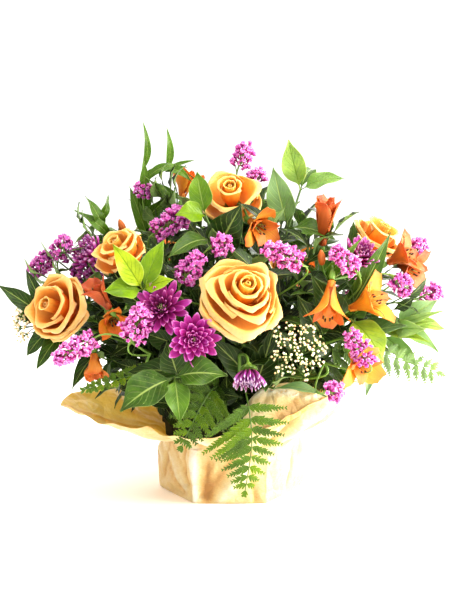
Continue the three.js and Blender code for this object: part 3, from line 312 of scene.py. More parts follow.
class Piece:
    def __init__(self, name):
        self.name = name
        self.size = 0
        self.points, self.loops, self.counts, self.slots, self.uvs, self.lines = ([] for _ in range(6))
        self.marks = {"tone": [], "shade": [], "side": []}

    def take(self, points, corners, counts, uvs, slot, matrix, marks):
        self.points.append(points if matrix is None else moved(points, matrix))
        self.loops.append(corners + self.size)
        self.counts.append(counts)
        self.slots.append(np.full(len(counts), slot))
        self.uvs.append(uvs)
        for key, values in self.marks.items():
            values.append(np.broadcast_to(np.asarray(marks.get(key, 0.0), float), len(points)))
        self.size += len(points)

    def add(self, points, faces, uvs, slot=0, matrix=None, **marks):
        # faces is a list of arrays, each with its own number of corners
        corners = np.concatenate([part.ravel() for part in faces])
        counts = np.concatenate([np.full(len(part), part.shape[1]) for part in faces])
        self.take(points, corners, counts, uvs[corners], slot, matrix, marks)

    def sheet(self, grid, thick, slot=0, matrix=None, **marks):
        # a closed blade over the grid, with a wall round its edge
        normal = np.cross(np.gradient(grid, axis=1), np.gradient(grid, axis=0))
        normal /= np.maximum(np.linalg.norm(normal, axis=-1, keepdims=True), 1e-9)
        half = normal * thick / 2
        points = np.concatenate([grid + half, grid - half]).reshape(-1, 3)
        rows, cols = grid.shape[:2]
        size = rows * cols
        index = np.arange(size).reshape(rows, cols)
        front = [index[:-1, :-1], index[:-1, 1:], index[1:, 1:], index[1:, :-1]]
        front = np.stack(front, -1).reshape(-1, 4)
        edge = np.concatenate([index[0, :], index[1:, -1], index[-1, -2::-1], index[-2:0:-1, 0]])
        ahead = np.roll(edge, -1)
        wall = np.stack([edge, edge + size, ahead + size, ahead], -1)
        v, u = gridOf(rows, cols, 0)
        uvs = np.tile(np.stack([u.ravel(), v.ravel()], -1), (2, 1))
        self.add(points, [front, front[:, ::-1] + size, wall], uvs, slot, matrix,
                 side=np.repeat([0.0, 1.0], size), **marks)

    def lathe(self, profile, matrix, slot=0, segments=12, tone=0.5, shade=0.0):
        # a round solid through a profile of radius and height
        profile = np.asarray(profile, float)
        shape = rings(profile[:, :1], np.arange(segments) * 2 * math.pi / segments, profile[:, 1:])
        shape = np.concatenate([shape[:1] * [0.02, 0.02, 1], shape, shape[-1:] * [0.02, 0.02, 1]])
        self.tube(shape, matrix, np.arange(len(shape)) / (len(shape) - 1), slot, tone=tone, shade=shade)

    def tube(self, shape, matrix, reach, slot=0, **marks):
        # closed rings joined up, with a polygon over each end; reach is how far up the UV map each ring is
        rows, cols = shape.shape[:2]
        index, _, quads = ringFaces(rows, cols)
        uvs = np.stack([np.tile(np.arange(cols) / cols, rows), np.repeat(reach, cols)], -1)
        self.add(shape.reshape(-1, 3), [quads, index[:1, ::-1], index[-1:]], uvs, slot, matrix, **marks)

    def mesh(self, mesh, matrix=None, slot=0, **marks):
        points = readFrom(mesh.vertices, "co", 3).reshape(-1, 3)
        corners = readFrom(mesh.loops, "vertex_index", kind=int)
        counts = readFrom(mesh.polygons, "loop_total", kind=int)
        uvs = readFrom(mesh.uv_layers[0].data, "uv", 2) if mesh.uv_layers else np.zeros(len(corners) * 2)
        held = {key: readFrom(mesh.attributes[key].data, "value")
                for key in self.marks if key in mesh.attributes}
        self.take(points, corners, counts, uvs.reshape(-1, 2), slot, matrix, {**held, **marks})

    def stalk(self, path, thick, end=None, tone=0.4):
        self.lines.append((np.asarray(path, float), thick / 2, (end or thick) / 2, tone))

    def build(self, scale=1.0):
        mesh = bpy.data.meshes.new(self.name)
        loops, counts = np.concatenate(self.loops), np.concatenate(self.counts)
        mesh.vertices.add(self.size)
        mesh.vertices.foreach_set("co", (np.concatenate(self.points) * scale).ravel())
        mesh.loops.add(len(loops))
        mesh.loops.foreach_set("vertex_index", loops.astype(np.int32))
        mesh.polygons.add(len(counts))
        mesh.polygons.foreach_set("loop_start", (np.cumsum(counts) - counts).astype(np.int32))
        mesh.polygons.foreach_set("material_index", np.concatenate(self.slots).astype(np.int32))
        mesh.uv_layers.new(name="skinUV").data.foreach_set("uv", np.concatenate(self.uvs).ravel())
        for key, values in self.marks.items():
            setMark(mesh, key, np.concatenate(values))
        mesh.update(calc_edges=True)
        mesh.shade_smooth()
        mesh.set_sharp_from_angle(angle=math.radians(64))
        return mesh

    def keep(self):
        # a small shape kept out of sight, which a tree copies
        mesh = self.build()
        for key in ("tone", "shade"):
            mesh.attributes.remove(mesh.attributes[key])
        sources.append(show(self.name, mesh))
        return sources[-1]

    def finish(self, names, nodes, slot):
        # sweeps the stalks in the stem finish, makes the mesh in metres and hands it to the frame
        if self.lines:
            self.mesh(sweepStalks(self.lines, finishes["stem"]), slot=names.index("stem"))
        mesh = self.build(toMetres)
        for name in names:
            mesh.materials.append(finishes[name])
        piece = show(self.name, mesh)
        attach(piece, "root")
        if nodes:
            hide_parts(*nodes)


# Geometry Nodes
def newTree(name, sockets):
    tree = bpy.data.node_groups.new(name, "GeometryNodeTree")
    tree.interface.new_socket(name="Geometry", in_out="OUTPUT", socket_type="NodeSocketGeometry")
    for label, kind in [("Geometry", "Geometry"), *sockets, ("Finish", "Material")]:
        tree.interface.new_socket(name=label, in_out="INPUT", socket_type="NodeSocket" + kind)
    nodes = Nodes(tree)
    return nodes, nodes.put("NodeGroupInput", out=None).outputs


def closeTree(nodes, entry, geometry):
    whole = nodes.put("GeometryNodeRealizeInstances", {"Geometry": geometry})
    done = nodes.put("GeometryNodeSetMaterial", {"Geometry": whole, "Material": entry["Finish"]})
    nodes.put("NodeGroupOutput", {"Geometry": done}, None)
    return nodes.tree


def placeCopies(nodes, shape, points, turn, size):
    held = nodes.put("GeometryNodeObjectInfo", {"Object": shape}, "Geometry")
    inputs = {"Points": points, "Instance": held, "Rotation": turn, "Scale": size}
    return nodes.put("GeometryNodeInstanceOnPoints", inputs)


def makeStalkTree():
    # round stalks swept along their paths
    nodes, entry = newTree("stalk sweep", [("Sides", "Int"), ("Thickness", "Float")])
    curve = nodes.put("GeometryNodeMeshToCurve", {"Mesh": entry["Geometry"]})
    girth = nodes.put("GeometryNodeInputNamedAttribute", {"Name": "girth"}, data_type="FLOAT")
    scaled = nodes.times(girth, entry["Thickness"])
    sized = nodes.put("GeometryNodeSetCurveRadius", {"Curve": curve, "Radius": scaled})
    ring = nodes.put("GeometryNodeCurvePrimitiveCircle", {"Resolution": entry["Sides"], "Radius": 1.0})
    swept = nodes.put("GeometryNodeCurveToMesh", {
        "Curve": sized, "Profile Curve": ring, "Scale": scaled, "Fill Caps": True})
    return closeTree(nodes, entry, nodes.put("GeometryNodeSetShadeSmooth", {"Geometry": swept}))


def makeCopyTree():
    # copies of a small shape on guide points that say where each one aims and faces
    nodes, entry = newTree("copies on guide", [
        ("Shape", "Object"), ("Size", "Float"), ("Flutter", "Float"), ("Seed", "Int")])
    aim, face, size = (nodes.put("GeometryNodeInputNamedAttribute", {"Name": key}, data_type="FLOAT_VECTOR")
                       for key in ("aim", "face", "size"))
    turned = nodes.put("FunctionNodeAxesToRotation", {0: aim, 1: face},
                       primary_axis="Y", secondary_axis="Z")
    loose = nodes.scatter(entry["Flutter"], entry["Seed"])
    loosened = nodes.put("FunctionNodeRotateRotation", {0: turned, 1: loose}, rotation_space="LOCAL")
    sized = nodes.put("ShaderNodeVectorMath", {0: size, "Scale": entry["Size"]}, operation="SCALE")
    return closeTree(nodes, entry, placeCopies(nodes, entry["Shape"], entry["Geometry"], loosened, sized))


def makeBloomTree():
    # a bloom of strap petals set at the golden angle, from the outer ones inwards
    nodes, entry = newTree("golden bloom", [("Petal", "Object"), ("Petals", "Int"), ("Seed", "Int")] + [
        (name, "Float") for name in (
            "Reach", "Width", "Inner Size", "Root", "Outer Lift", "Inner Lift", "Height", "Scatter")])
    times, plus, minus = nodes.times, nodes.plus, lambda a, b: nodes.math("SUBTRACT", a, b)
    index = nodes.put("GeometryNodeInputIndex")
    share = nodes.math("DIVIDE", index, minus(entry["Petals"], 1.0))
    spin = times(index, goldenAngle)
    loose = nodes.parts(nodes.scatter(entry["Scatter"], entry["Seed"]))
    lift = nodes.range(share, entry["Outer Lift"], entry["Inner Lift"])
    turn = nodes.vector(plus(lift, loose["X"]), loose["Y"], plus(spin, loose["Z"]))
    size = times(nodes.range(share, 1.0, entry["Inner Size"]), entry["Reach"])
    size = times(size, plus(1.0, times(loose["Y"], 0.5)))
    rooted = times(times(entry["Root"], entry["Reach"]), minus(1.0, share))
    place = nodes.vector(
        times(times(nodes.math("SINE", spin), rooted), -1.0), times(nodes.math("COSINE", spin), rooted),
        times(share, entry["Height"]))
    points = nodes.put("GeometryNodePoints", {"Count": entry["Petals"]})
    placed = nodes.put("GeometryNodeSetPosition", {"Geometry": points, "Position": place})
    marked = nodes.put("GeometryNodeStoreNamedAttribute", {
        "Geometry": placed, "Name": "tone", "Value": minus(1.0, share)}, data_type="FLOAT")
    slender = nodes.vector(times(size, entry["Width"]), size, size)
    return closeTree(nodes, entry, placeCopies(nodes, entry["Petal"], marked, turn, slender))


stalkTree = makeStalkTree()
copyTree = makeCopyTree()
bloomTree = makeBloomTree()


def grow(tree, inputs, mesh=None):
    # runs a tree on a mesh and gives back the result as a plain mesh
    holder = show("holder", mesh or bpy.data.meshes.new("holder"))
    modifier = holder.modifiers.new("grow", "NODES")
    modifier.node_group = tree
    for item in tree.interface.items_tree:
        if item.in_out == "INPUT" and item.name in inputs:
            modifier[item.identifier] = inputs[item.name]
    depsgraph = bpy.context.evaluated_depsgraph_get()
    result = bpy.data.meshes.new_from_object(
        holder.evaluated_get(depsgraph), preserve_all_data_layers=True, depsgraph=depsgraph)
    bpy.data.objects.remove(holder)
    return result


def sweepStalks(lines, finish):
    paths = [path for path, *_ in lines]
    starts = np.cumsum([0] + [len(path) for path in paths])
    edges = np.concatenate([
        np.stack([np.arange(a, b - 1), np.arange(a + 1, b)], -1) for a, b in zip(starts, starts[1:])])
    mesh = bpy.data.meshes.new("stalk paths")
    mesh.from_pydata(np.concatenate(paths).tolist(), edges.tolist(), [])
    setMark(mesh, "girth", np.concatenate([np.linspace(a, b, len(path)) for path, a, b, _ in lines]))
    setMark(mesh, "tone", np.concatenate([np.full(len(path), tone) for path, _, _, tone in lines]))
    return grow(stalkTree, {"Sides": 7, "Thickness": 1.0, "Finish": finish}, mesh)


def copiesOf(shape, guides, finish, size=1.0, flutter=0.0, seed=1):
    # guides are rows of place, aim, face, size and tone
    mesh = bpy.data.meshes.new("guides")
    mesh.from_pydata([tuple(row[0]) for row in guides], [], [])
    for column, key in enumerate(("aim", "face", "size"), 1):
        setMark(mesh, key, [np.broadcast_to(row[column], 3) for row in guides], "FLOAT_VECTOR")
    setMark(mesh, "tone", [row[4] for row in guides])
    inputs = {"Shape": shape, "Size": size, "Flutter": flutter, "Seed": seed, "Finish": finishes[finish]}
    return grow(copyTree, inputs, mesh)


# Finishes. A ramp runs from the root of a petal to its lip, as pairs of position and web colour.
petalFinishes = {
    # "inner" is for a bloom's core, "outer" for its outside and "blush" for a darker bloom
    "rose": {
        "inside": 0xf2b864, "insideShare": 0.42,
        # the rose ramps are deep orange at each petal's root, which sits low between the other petals, and
        # pale towards the lip: partly the rose's own colour, partly painted shade
        "inner": [(0.0, 0xd06818), (0.45, 0xe49228), (0.75, 0xeaac3c), (1.0, 0xeebe6c)],
        "outer": [(0.0, 0xc8480c), (0.32, 0xdc7420), (0.54, 0xe69a44), (0.76, 0xeab478), (1.0, 0xeecaa0)],
        "blush": [(0.0, 0xcc440c), (0.38, 0xe07028), (0.62, 0xe88c48), (0.84, 0xeca268), (1.0, 0xeebc90)],
        "roughness": (0.45, 0.62), "glow": 0.6, "streakAndGrooveShade": 0.28, "relief": 0.9,
    },
    "mum": {
        "inner": [(0.0, 0x20040e), (0.45, 0x3c0a28), (0.85, 0x741858), (1.0, 0xa83a88)],
        "outer": [(0.0, 0x3a061c), (0.3, 0x8c1866), (0.6, 0xb62c94), (0.85, 0xc850ae), (1.0, 0xdc90cc)],
        "blush": [(0.0, 0x240418), (0.5, 0x5a1448), (0.86, 0x8a3f8c), (1.0, 0xe0c8e0)],
        "roughness": (0.45, 0.62), "glow": 0.3, "streakAndGrooveShade": 0.3, "relief": 0.8,
    },
    "alstroemeria": {
        "inner": [(0.0, 0xc8641c), (0.35, 0xf0a428), (0.7, 0xf4b43c), (1.0, 0xe47c2c)],
        "outer": [(0.0, 0xa0441c), (0.3, 0xd0641a), (0.65, 0xe8882c), (1.0, 0xd86832)],
        "blush": [(0.0, 0x88391c), (0.4, 0xa64e26), (0.8, 0xbc6438), (1.0, 0xa0442c)],
        "roughness": (0.38, 0.55), "glow": 0.4, "streakAndGrooveShade": 0.85, "relief": 0.9,
    },
    "statice": {
        "inner": [(0.0, 0x5c1440), (0.4, 0xa02070), (0.7, 0xbc3c94), (1.0, 0xdc7cc4)],
        "outer": [(0.0, 0x741c50), (0.4, 0xb83088), (0.7, 0xd868b4), (1.0, 0xf0c0e6)],
        "blush": [(0.0, 0x421640), (0.4, 0x7c2a70), (0.75, 0x963a88), (1.0, 0xb468ac)],
        "roughness": (0.6, 0.8), "glow": 0.35, "streakAndGrooveShade": 0.35, "relief": 1.0,
    },
}


def petalFinish(name, look):
    skin = Finish(name + " petal")
    uv, tone = skin.uv(), skin.mark("tone")
    long = skin.vector(skin.times(uv["X"], 34.0), skin.times(uv["Y"], 2.5), skin.times(tone, 17.0))
    streak = skin.noise(1.0, 4.0, 0.6, long)
    run = skin.plus(uv["Y"], skin.timesPlus(skin.noise(60.0), 0.16, -0.08))
    inner, outer, blush = (skin.ramp(run, look[key]) for key in ("inner", "outer", "blush"))
    base = skin.mix(skin.mark("shade"), skin.mix(tone, inner, outer), blush)
    if "inside" in look:
        # the hollow side of a petal glows yellower
        base = skin.mix(skin.times(skin.mark("side"), look["insideShare"]), base, look["inside"])
    # darker streaks along the petal, darkest where the same noise sinks the bump: real streaking together
    # with painted shade in the grooves
    lines = skin.ramp(streak, [(0.3, (0.72, 0.66, 0.66, 1)), (0.7, (1, 1, 1, 1))])
    base = skin.mix(look["streakAndGrooveShade"], base, skin.mix(1.0, base, lines, "MULTIPLY"))
    return skin.close(base, streak, look["roughness"], streak, look["relief"] * 0.3, 0.0006,
                      look["glow"], 0.003, (1.0, 0.6, 0.35), 0.3)


leafLook = {
    "upper": [(0.0, 0x131c08), (0.3, 0x2e4414), (0.55, 0x4e6c1c), (0.75, 0x66820c), (1.0, 0x9cac1c)],
    "under": 0x8ea86a,
    "frost": 0x9cb48c,
    "vein": 0xaebc6c,
    "limeVein": 0x5c7c12,
    "veins": 8.0,
    "veinLean": 2.6,
    "thickness": 0.42,
}


def leafFinish():
    look, skin = leafLook, Finish("leaf skin")
    uv, tone = skin.uv(), skin.mark("tone")
    # 0 on the midrib, 1 on both edges
    edge = skin.math("ABSOLUTE", skin.timesPlus(uv["X"], 2.0, -1.0))
    patch = skin.noise(90.0, 4.0, 0.6)
    # lateral veins lean towards the tip
    row = skin.timesPlus(uv["Y"], look["veins"], skin.times(edge, -look["veinLean"]))
    gap = skin.math("ABSOLUTE", skin.math("SUBTRACT", skin.math("FRACT", row), 0.5))
    lateral = skin.range(gap, 1.0, 0.0, 0.0, 0.1, "SMOOTHSTEP")
    midrib = skin.range(edge, 1.0, 0.0, 0.02, 0.09, "SMOOTHSTEP")
    vein = skin.math("MAXIMUM", midrib, skin.times(lateral, skin.timesPlus(edge, -0.45, 0.6)))
    lit = skin.plus(skin.plus(tone, skin.timesPlus(patch, 0.44, -0.24)), skin.times(lateral, -0.06))
    base = skin.mix(skin.times(skin.mark("shade"), 0.7), skin.ramp(lit, look["upper"]), look["frost"])
    base = skin.mix(skin.times(skin.mark("side"), 0.55), base, look["under"])
    veinTint = skin.ramp(tone, [(0.5, look["vein"]), (0.8, look["limeVein"])])
    base = skin.mix(skin.times(vein, 0.54), base, veinTint)
    # the margin of a bright leaf is paler
    margin = skin.times(skin.range(edge, 0.0, 0.55, 0.9, 1.0), skin.times(tone, tone))
    base = skin.mix(margin, base, look["vein"])
    height = skin.timesPlus(vein, -0.8, skin.times(skin.noise(420.0, 3.0, 0.6), 0.3))
    return skin.close(base, patch, (0.26, 0.5), height, 0.8, 0.0009, 0.22, 0.002, (0.7, 1.0, 0.25), 0.24)


def stemFinish():
    skin = Finish("green stem")
    streak = skin.noise(1.0, 4.0, 0.6, skin.place((900, 900, 60)))
    lit = skin.plus(skin.mark("tone"), skin.timesPlus(streak, 0.3, -0.15))
    base = skin.ramp(lit, [(0.0, 0x3a2a16), (0.25, 0x35491a), (0.6, 0x66892f), (1.0, 0xa9bf6c)])
    return skin.close(base, streak, (0.4, 0.65), streak, 0.4, 0.0004)


def budFinish(name, low, high):
    skin = Finish(name)
    patch = skin.noise(500.0)
    lit = skin.plus(skin.mark("tone"), skin.timesPlus(patch, 0.4, -0.2))
    base = skin.ramp(lit, [(0.1, low), (0.9, high)])
    return skin.close(base, patch, (0.5, 0.8), patch, 0.5, 0.0005, 0.3, 0.002)


def linerFinish(name, low, high, scale, relief):
    skin = Finish(name)
    grain = skin.noise(scale, 4.0, 0.6)
    base = skin.ramp(grain, [(0.3, low), (0.7, high)])
    return skin.close(base, grain, (0.5, 0.8), grain, relief, 0.0008)


def kraftFinish():
    skin = Finish("kraft paper")
    fibre = skin.noise(1.0, 5.0, 0.65, skin.place((500, 160, 1500)))
    lit = skin.timesPlus(fibre, 0.4, skin.times(skin.noise(16.0, 4.0, 0.55), 0.6))
    # the tone mark adds the painted shade in sunk folds and the painted highlight on raised ones
    lit = skin.plus(lit, skin.timesPlus(skin.mark("tone"), 1.0, -0.5))
    # the outer face's ramp runs paler, up to near white, and the inner face's is deeper gold: partly the
    # paper's own two faces, partly painted light and sheen on the lit outside and painted shade on the
    # shaded inside
    outside = skin.ramp(lit, [
        (0.1, 0xae7c42), (0.32, 0xcc9c5e), (0.5, 0xdcb880), (0.7, 0xe8d0a6), (0.95, 0xf4e8d0)])
    inside = skin.ramp(lit, [(0.25, 0xd49c48), (0.5, 0xe4b66c), (0.78, 0xf0cc90)])
    specks = skin.ramp(skin.cells(420.0), [(0.05, (0.35, 0.35, 0.35, 1)), (0.2, (0, 0, 0, 1))])
    base = skin.mix(specks, skin.mix(skin.mark("side"), outside, inside), 0xc09450)
    # crumples: ridges where two cells of a crushed sheet meet
    large, small = skin.cells(34.0, "DISTANCE_TO_EDGE"), skin.cells(95.0, "DISTANCE_TO_EDGE")
    crumples = skin.timesPlus(small, 0.35, skin.timesPlus(fibre, 0.06, large))
    return skin.close(base, fibre, (0.42, 0.62), crumples, 0.7, 0.009, 0.5, 0.004, (1.0, 0.7, 0.4), 0.6)


for name, look in petalFinishes.items():
    finishes[name] = petalFinish(name, look)
finishes["leaf"] = leafFinish()
finishes["stem"] = stemFinish()
finishes["rice"] = budFinish("rice flower bud", 0xb8a468, 0xf8eccc)
finishes["anther"] = budFinish("anther", 0x3a2410, 0x6b4a22)
finishes["disc"] = budFinish("mum disc", 0x4a1c24, 0xc8cc90)
finishes["kraft"] = kraftFinish()
# the pot and the foam are right as solids and only take a finish
liners = {
    "pot": linerFinish("plastic pot", 0x141a12, 0x1e261a, 60.0, 0.1),
    "floral_foam": linerFinish("wet floral foam", 0x16301c, 0x22442a, 700.0, 0.7),
}
for name, finish in liners.items():
    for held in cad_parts[name].material_slots:
        held.material = finish
print("finishes are ready")


# Paper wrapper
paper = {
    # azimuth in degrees (0 is +X, 270 is the front), radius and height of the rim
    "rim": [(10, 124, 106), (40, 124, 96), (68, 152, 106), (100, 124, 92), (130, 132, 88), (155, 130, 98),
            (190, 170, 92), (215, 140, 84), (245, 122, 79), (270, 117, 81), (294, 121, 93), (316, 127, 113),
            (341, 138, 121)],
    # stations up the wall: height, radius, how sharply faceted, how deep the pleats
    "wall": [(0, 69.5, 0.9, 0.0), (4, 71.5, 0.9, 0.2), (24, 73.5, 0.85, 0.5), (44, 73.5, 0.7, 0.7),
             (54, 70, 0.45, 1.0), (58, 71, 0.2, 1.2), (62, 77, 0.1, 1.3)],
    "bottomRadius": 69,
    "neckRadius": 72,
    "neckHeight": 56,
    "facets": 6,
    "pleats": 9,
    "pleatDepth": 1.8,
    "sharpPleat": 9,
    "collarCurve": 1.25,
    "thickness": 0.45,
    "segments": 288,
    "wallRows": 26,
    "collarRows": 30,
    "creaseDepth": 9,
    "fineCrease": 4,
    # folds seen at the front: azimuth and height of both ends, depth and half width
    "folds": [(228, 60, 231, 16, -1.5, 5), (196, 52, 228, 12, 0.8, 6), (200, 34, 224, 6, -0.8, 5),
              (208, 60, 229, 28, -0.9, 5), (241, 4, 242, 56, 3.0, 7), (250, 4, 252, 40, -2.0, 7),
              (250, 8, 275, 52, -1.8, 8), (262, 4, 286, 40, 2.2, 9), (292, 4, 284, 58, -1.6, 6),
              (216, 74, 232, 60, 2, 6), (232, 80, 246, 62, -2, 6), (258, 66, 250, 84, 2.2, 7),
              (300, 62, 306, 96, -2.6, 8), (312, 66, 322, 104, 2.6, 8), (200, 64, 196, 90, -2.4, 8)],
    "scatteredFolds": 22,
    "foldScale": 1.5,
    # how deep a fold is for the full painted shade or highlight of its tone, and the width of the painted
    # line along a crease
    "foldShadeDepth": 13.0,
    "creaseShadeWidth": 2.6,
    # height and least radius of the sheet, so that it lies outside the pot and its rim
    "overPot": [(0, 61.5), (68, 68), (70, 70.8), (77, 70.8), (80, 64), (82, 0)],
    # the collar turns in on itself at the front right; this is the same sheet, so it has no node of its own
    "turnedFold": {
        "azimuths": (275, 318),
        "crest": [(14, -98, 106), (29, -92, 120), (52, -84, 124.5), (66, -80, 121), (88, -84, 114)],
        "columns": 22,
        "rows": 9,
    },
}


def rimAt(azimuth):
    angles, radii, heights = (np.array(column, float) for column in zip(*paper["rim"]))
    turns = np.concatenate([angles - 360, angles, angles + 360])
    i = np.searchsorted(turns, azimuth, side="right") - 1
    t = (azimuth - turns[i]) / (turns[i + 1] - turns[i])
    t2, t3 = t * t, t * t * t
    out = []
    for values in (np.tile(radii, 3), np.tile(heights, 3)):
        slope = (np.roll(values, -1) - np.roll(values, 1)) / 2
        out.append((2 * t3 - 3 * t2 + 1) * values[i] + (t3 - 2 * t2 + t) * slope[i]
                   + (3 * t2 - 2 * t3) * values[i + 1] + (t3 - t2) * slope[i + 1])
    return out


def facetAt(angle):
    # 1 at the corners of the faceted base, less in the middle of its flats
    pitch = 2 * math.pi / paper["facets"]
    return math.cos(pitch / 2) / np.cos(angle % pitch - pitch / 2)


def paperGrid():
    azimuth = np.linspace(0, 360, paper["segments"], endpoint=False)
    angle = np.radians(azimuth)
    rimRadius, rimHeight = rimAt(azimuth)
    knees = np.random.default_rng(11).uniform(0, 2 * math.pi, 6)
    folds = np.cos(paper["pleats"] * angle + 0.6)
    sharp = sum(np.abs(((angle * k + knees[n]) / (2 * math.pi)) % 1 - 0.5)
                for n, k in enumerate((5, 11, 17))) / 3 - 0.25
    rows = []
    for height, radius, faceted, pleat in route(paper["wall"], paper["wallRows"]):
        rows.append((height, radius * blend(1, facetAt(angle), faceted), pleat))
    topHeight, topRadius, faceted, _ = paper["wall"][-1]
    base = topRadius * blend(1, facetAt(angle), faceted)
    for share in np.linspace(0, 1, paper["collarRows"] + 1)[1:]:
        height = blend(topHeight, rimHeight, share ** paper["collarCurve"])
        rows.append((height, blend(base, rimRadius, share), 1.3 - 0.5 * share))
    grid = []
    for height, radius, pleat in rows:
        radius = radius + folds * paper["pleatDepth"] * pleat + paper["sharpPleat"] * sharp * pleat
        grid.append(rings(radius, angle, height))
    return np.array(grid)


def foldDepth(grid):
    # straight folds given on the unrolled wall, then scattered ones on the sides without any; with their
    # depth comes a tone that paints shade in sunk folds and a highlight on raised ones
    azimuth = np.degrees(np.arctan2(grid[..., 1], grid[..., 0])) % 360
    rng = np.random.default_rng(21)
    lines = list(paper["folds"])
    for _ in range(paper["scatteredFolds"]):
        turn, height = rng.uniform(275, 555), rng.uniform(0, 80)
        lines.append((turn, height, turn + rng.uniform(-22, 22), height + rng.uniform(20, 50),
                      rng.uniform(-1.8, 1.8), rng.uniform(5, 9)))
    total, tone = 0, 0
    perDegree = math.radians(paper["neckRadius"])
    for turnA, heightA, turnB, heightB, depth, width in lines:
        away = (azimuth - turnA + 180) % 360 - 180
        reach = np.array([(turnB - turnA) * perDegree, heightB - heightA])
        spot = np.stack([away * perDegree, grid[..., 2] - heightA], -1)
        share = np.clip(spot @ reach / (reach @ reach), 0, 1)
        gap = np.linalg.norm(spot - share[..., None] * reach, axis=-1)
        edge = np.maximum(0, 1 - gap / width)
        total = total + paper["foldScale"] * depth * blend(edge, smoothStep(0, 1, edge), 0.5)
        # a thin painted highlight along a raised crease and a thin painted shadow along a sunk one
        tone = tone + 0.1 * np.sign(depth) * np.maximum(0, 1 - gap / paper["creaseShadeWidth"])
    return total, 0.5 + np.clip(total / paper["foldShadeDepth"] + tone, -0.5, 0.5)


def creaseField(points, rng, count, period):
    # straight folds in random directions, as crushed paper has, about zero
    total = np.zeros(len(points))
    for _ in range(count):
        way = unit(rng.normal(size=3)) / (period * rng.uniform(0.7, 1.4))
        total += np.abs((points @ way + rng.uniform()) % 1 - 0.5)
    return (total - 0.25 * count) / math.sqrt(count)


def crushed(grid):
    # creases over the whole sheet, none on the line it stands on
    flat = grid.reshape(-1, 3)
    rng = np.random.default_rng(5)
    depth = paper["creaseDepth"] * creaseField(flat, rng, 5, 52)
    depth = depth + paper["fineCrease"] * creaseField(flat, rng, 5, 21)
    wrapped = np.concatenate([grid[:, -1:], grid, grid[:, :1]], 1)
    normal = np.cross(wrapped[:, 2:] - wrapped[:, :-2], np.gradient(grid, axis=0))
    normal /= np.linalg.norm(normal, axis=-1, keepdims=True)
    hold = smoothStep(0, 7, grid[..., 2])
    folds, tone = foldDepth(grid)
    sheet = grid + normal * ((depth.reshape(folds.shape) + folds) * hold)[..., None]
    least = np.interp(sheet[..., 2], *zip(*paper["overPot"]))
    widen = np.maximum(1, least / np.hypot(sheet[..., 0], sheet[..., 1]))
    return sheet * np.stack([widen, widen, np.ones_like(widen)], -1), normal, tone


def makePaper():
    grid, normal, tone = crushed(paperGrid())
    thick = paper["thickness"]
    shrink = 1 - thick / paper["bottomRadius"]
    inner = grid - normal * thick
    inner[0] = grid[0] * [shrink, shrink, 1]
    inner[..., 2] = np.maximum(inner[..., 2], thick)
    # the bottom sheet closes with two rings towards its middle
    discs = np.array([grid[0] * [k, k, 1] for k in (0.33, 0.66)])
    outer = np.concatenate([discs, grid])
    lining = np.concatenate([discs * [1, 1, 0] + [0, 0, thick], inner])
    points = np.concatenate([outer.reshape(-1, 3), lining.reshape(-1, 3), [[0, 0, 0], [0, 0, thick]]])
    rows, cols = outer.shape[:2]
    size = rows * cols
    index, ahead, skin = ringFaces(rows, cols)
    lip = np.stack([index[-1], ahead[-1], ahead[-1] + size, index[-1] + size], -1)
    fans = [np.stack([ahead[0], index[0], np.full(cols, 2 * size)], -1),
            np.stack([index[0] + size, ahead[0] + size, np.full(cols, 2 * size + 1)], -1)]
    uvs = np.stack([np.tile(np.arange(cols) / cols, rows), np.repeat(np.arange(rows) / rows, cols)], -1)
    uvs = np.concatenate([uvs, uvs, np.zeros((2, 2))])
    # the painted fold shade and highlight, plain on the bottom sheet
    creaseShading = np.concatenate([np.full((2, cols), 0.5), tone]).ravel()
    piece = Piece("kraft_wrapper")
    piece.add(points, [skin, skin[:, ::-1] + size, lip, *fans], uvs,
              side=np.concatenate([np.repeat([0.0, 1.0], size), [0.0, 1.0]]),
              tone=np.concatenate([creaseShading, creaseShading, [0.5, 0.5]]))
    piece.finish(["kraft"], ["paper_wrap"], "paper")


def makePaperFold():
    fold = paper["turnedFold"]
    azimuth = np.linspace(*fold["azimuths"], fold["columns"])
    radius, height = rimAt(azimuth)
    low = rings(radius - 3, np.radians(azimuth), height - 4)
    high = route(fold["crest"], fold["columns"])
    grid = route(np.stack([low, blend(low, high, 0.5) + [0, -2, 4], high]), fold["rows"])
    v, u = gridOf(fold["rows"], fold["columns"], 0)
    crease = np.maximum(0, 1 - np.abs(v - 1.1 + 0.9 * u) / 0.16)
    crease = crease - 0.6 * np.maximum(0, 1 - np.abs(v + 0.1 - 0.8 * u) / 0.2)
    bow = np.sin(math.pi * u)
    grid = grid + np.stack([0 * u, -2.4 * crease * bow, 1.4 * crease * bow], -1)
    piece = Piece("kraft_turned_fold")
    # the tone paints a highlight along the fold's raised crease and shade along the sunk one below it
    piece.sheet(grid, paper["thickness"], tone=np.tile(0.5 + 0.35 * crease.ravel(), 2))
    piece.finish(["kraft"], [], "paper")


makePaper()
makePaperFold()
print("paper wrapper is done")


# Leaves. The outline is half the width at even steps from root to tip.
outlines = {
    "broad": [0.05, 0.09, 0.72, 0.98, 1.0, 0.9, 0.66, 0.3, 0.02],
    "slim": [0.08, 0.3, 0.7, 0.95, 1.0, 0.86, 0.6, 0.3, 0.03],
    "strap": [0.3, 0.6, 0.85, 1.0, 0.98, 0.85, 0.62, 0.34, 0.03],
    "round": [0.05, 0.35, 0.86, 1.0, 0.98, 0.88, 0.7, 0.42, 0.05],
}


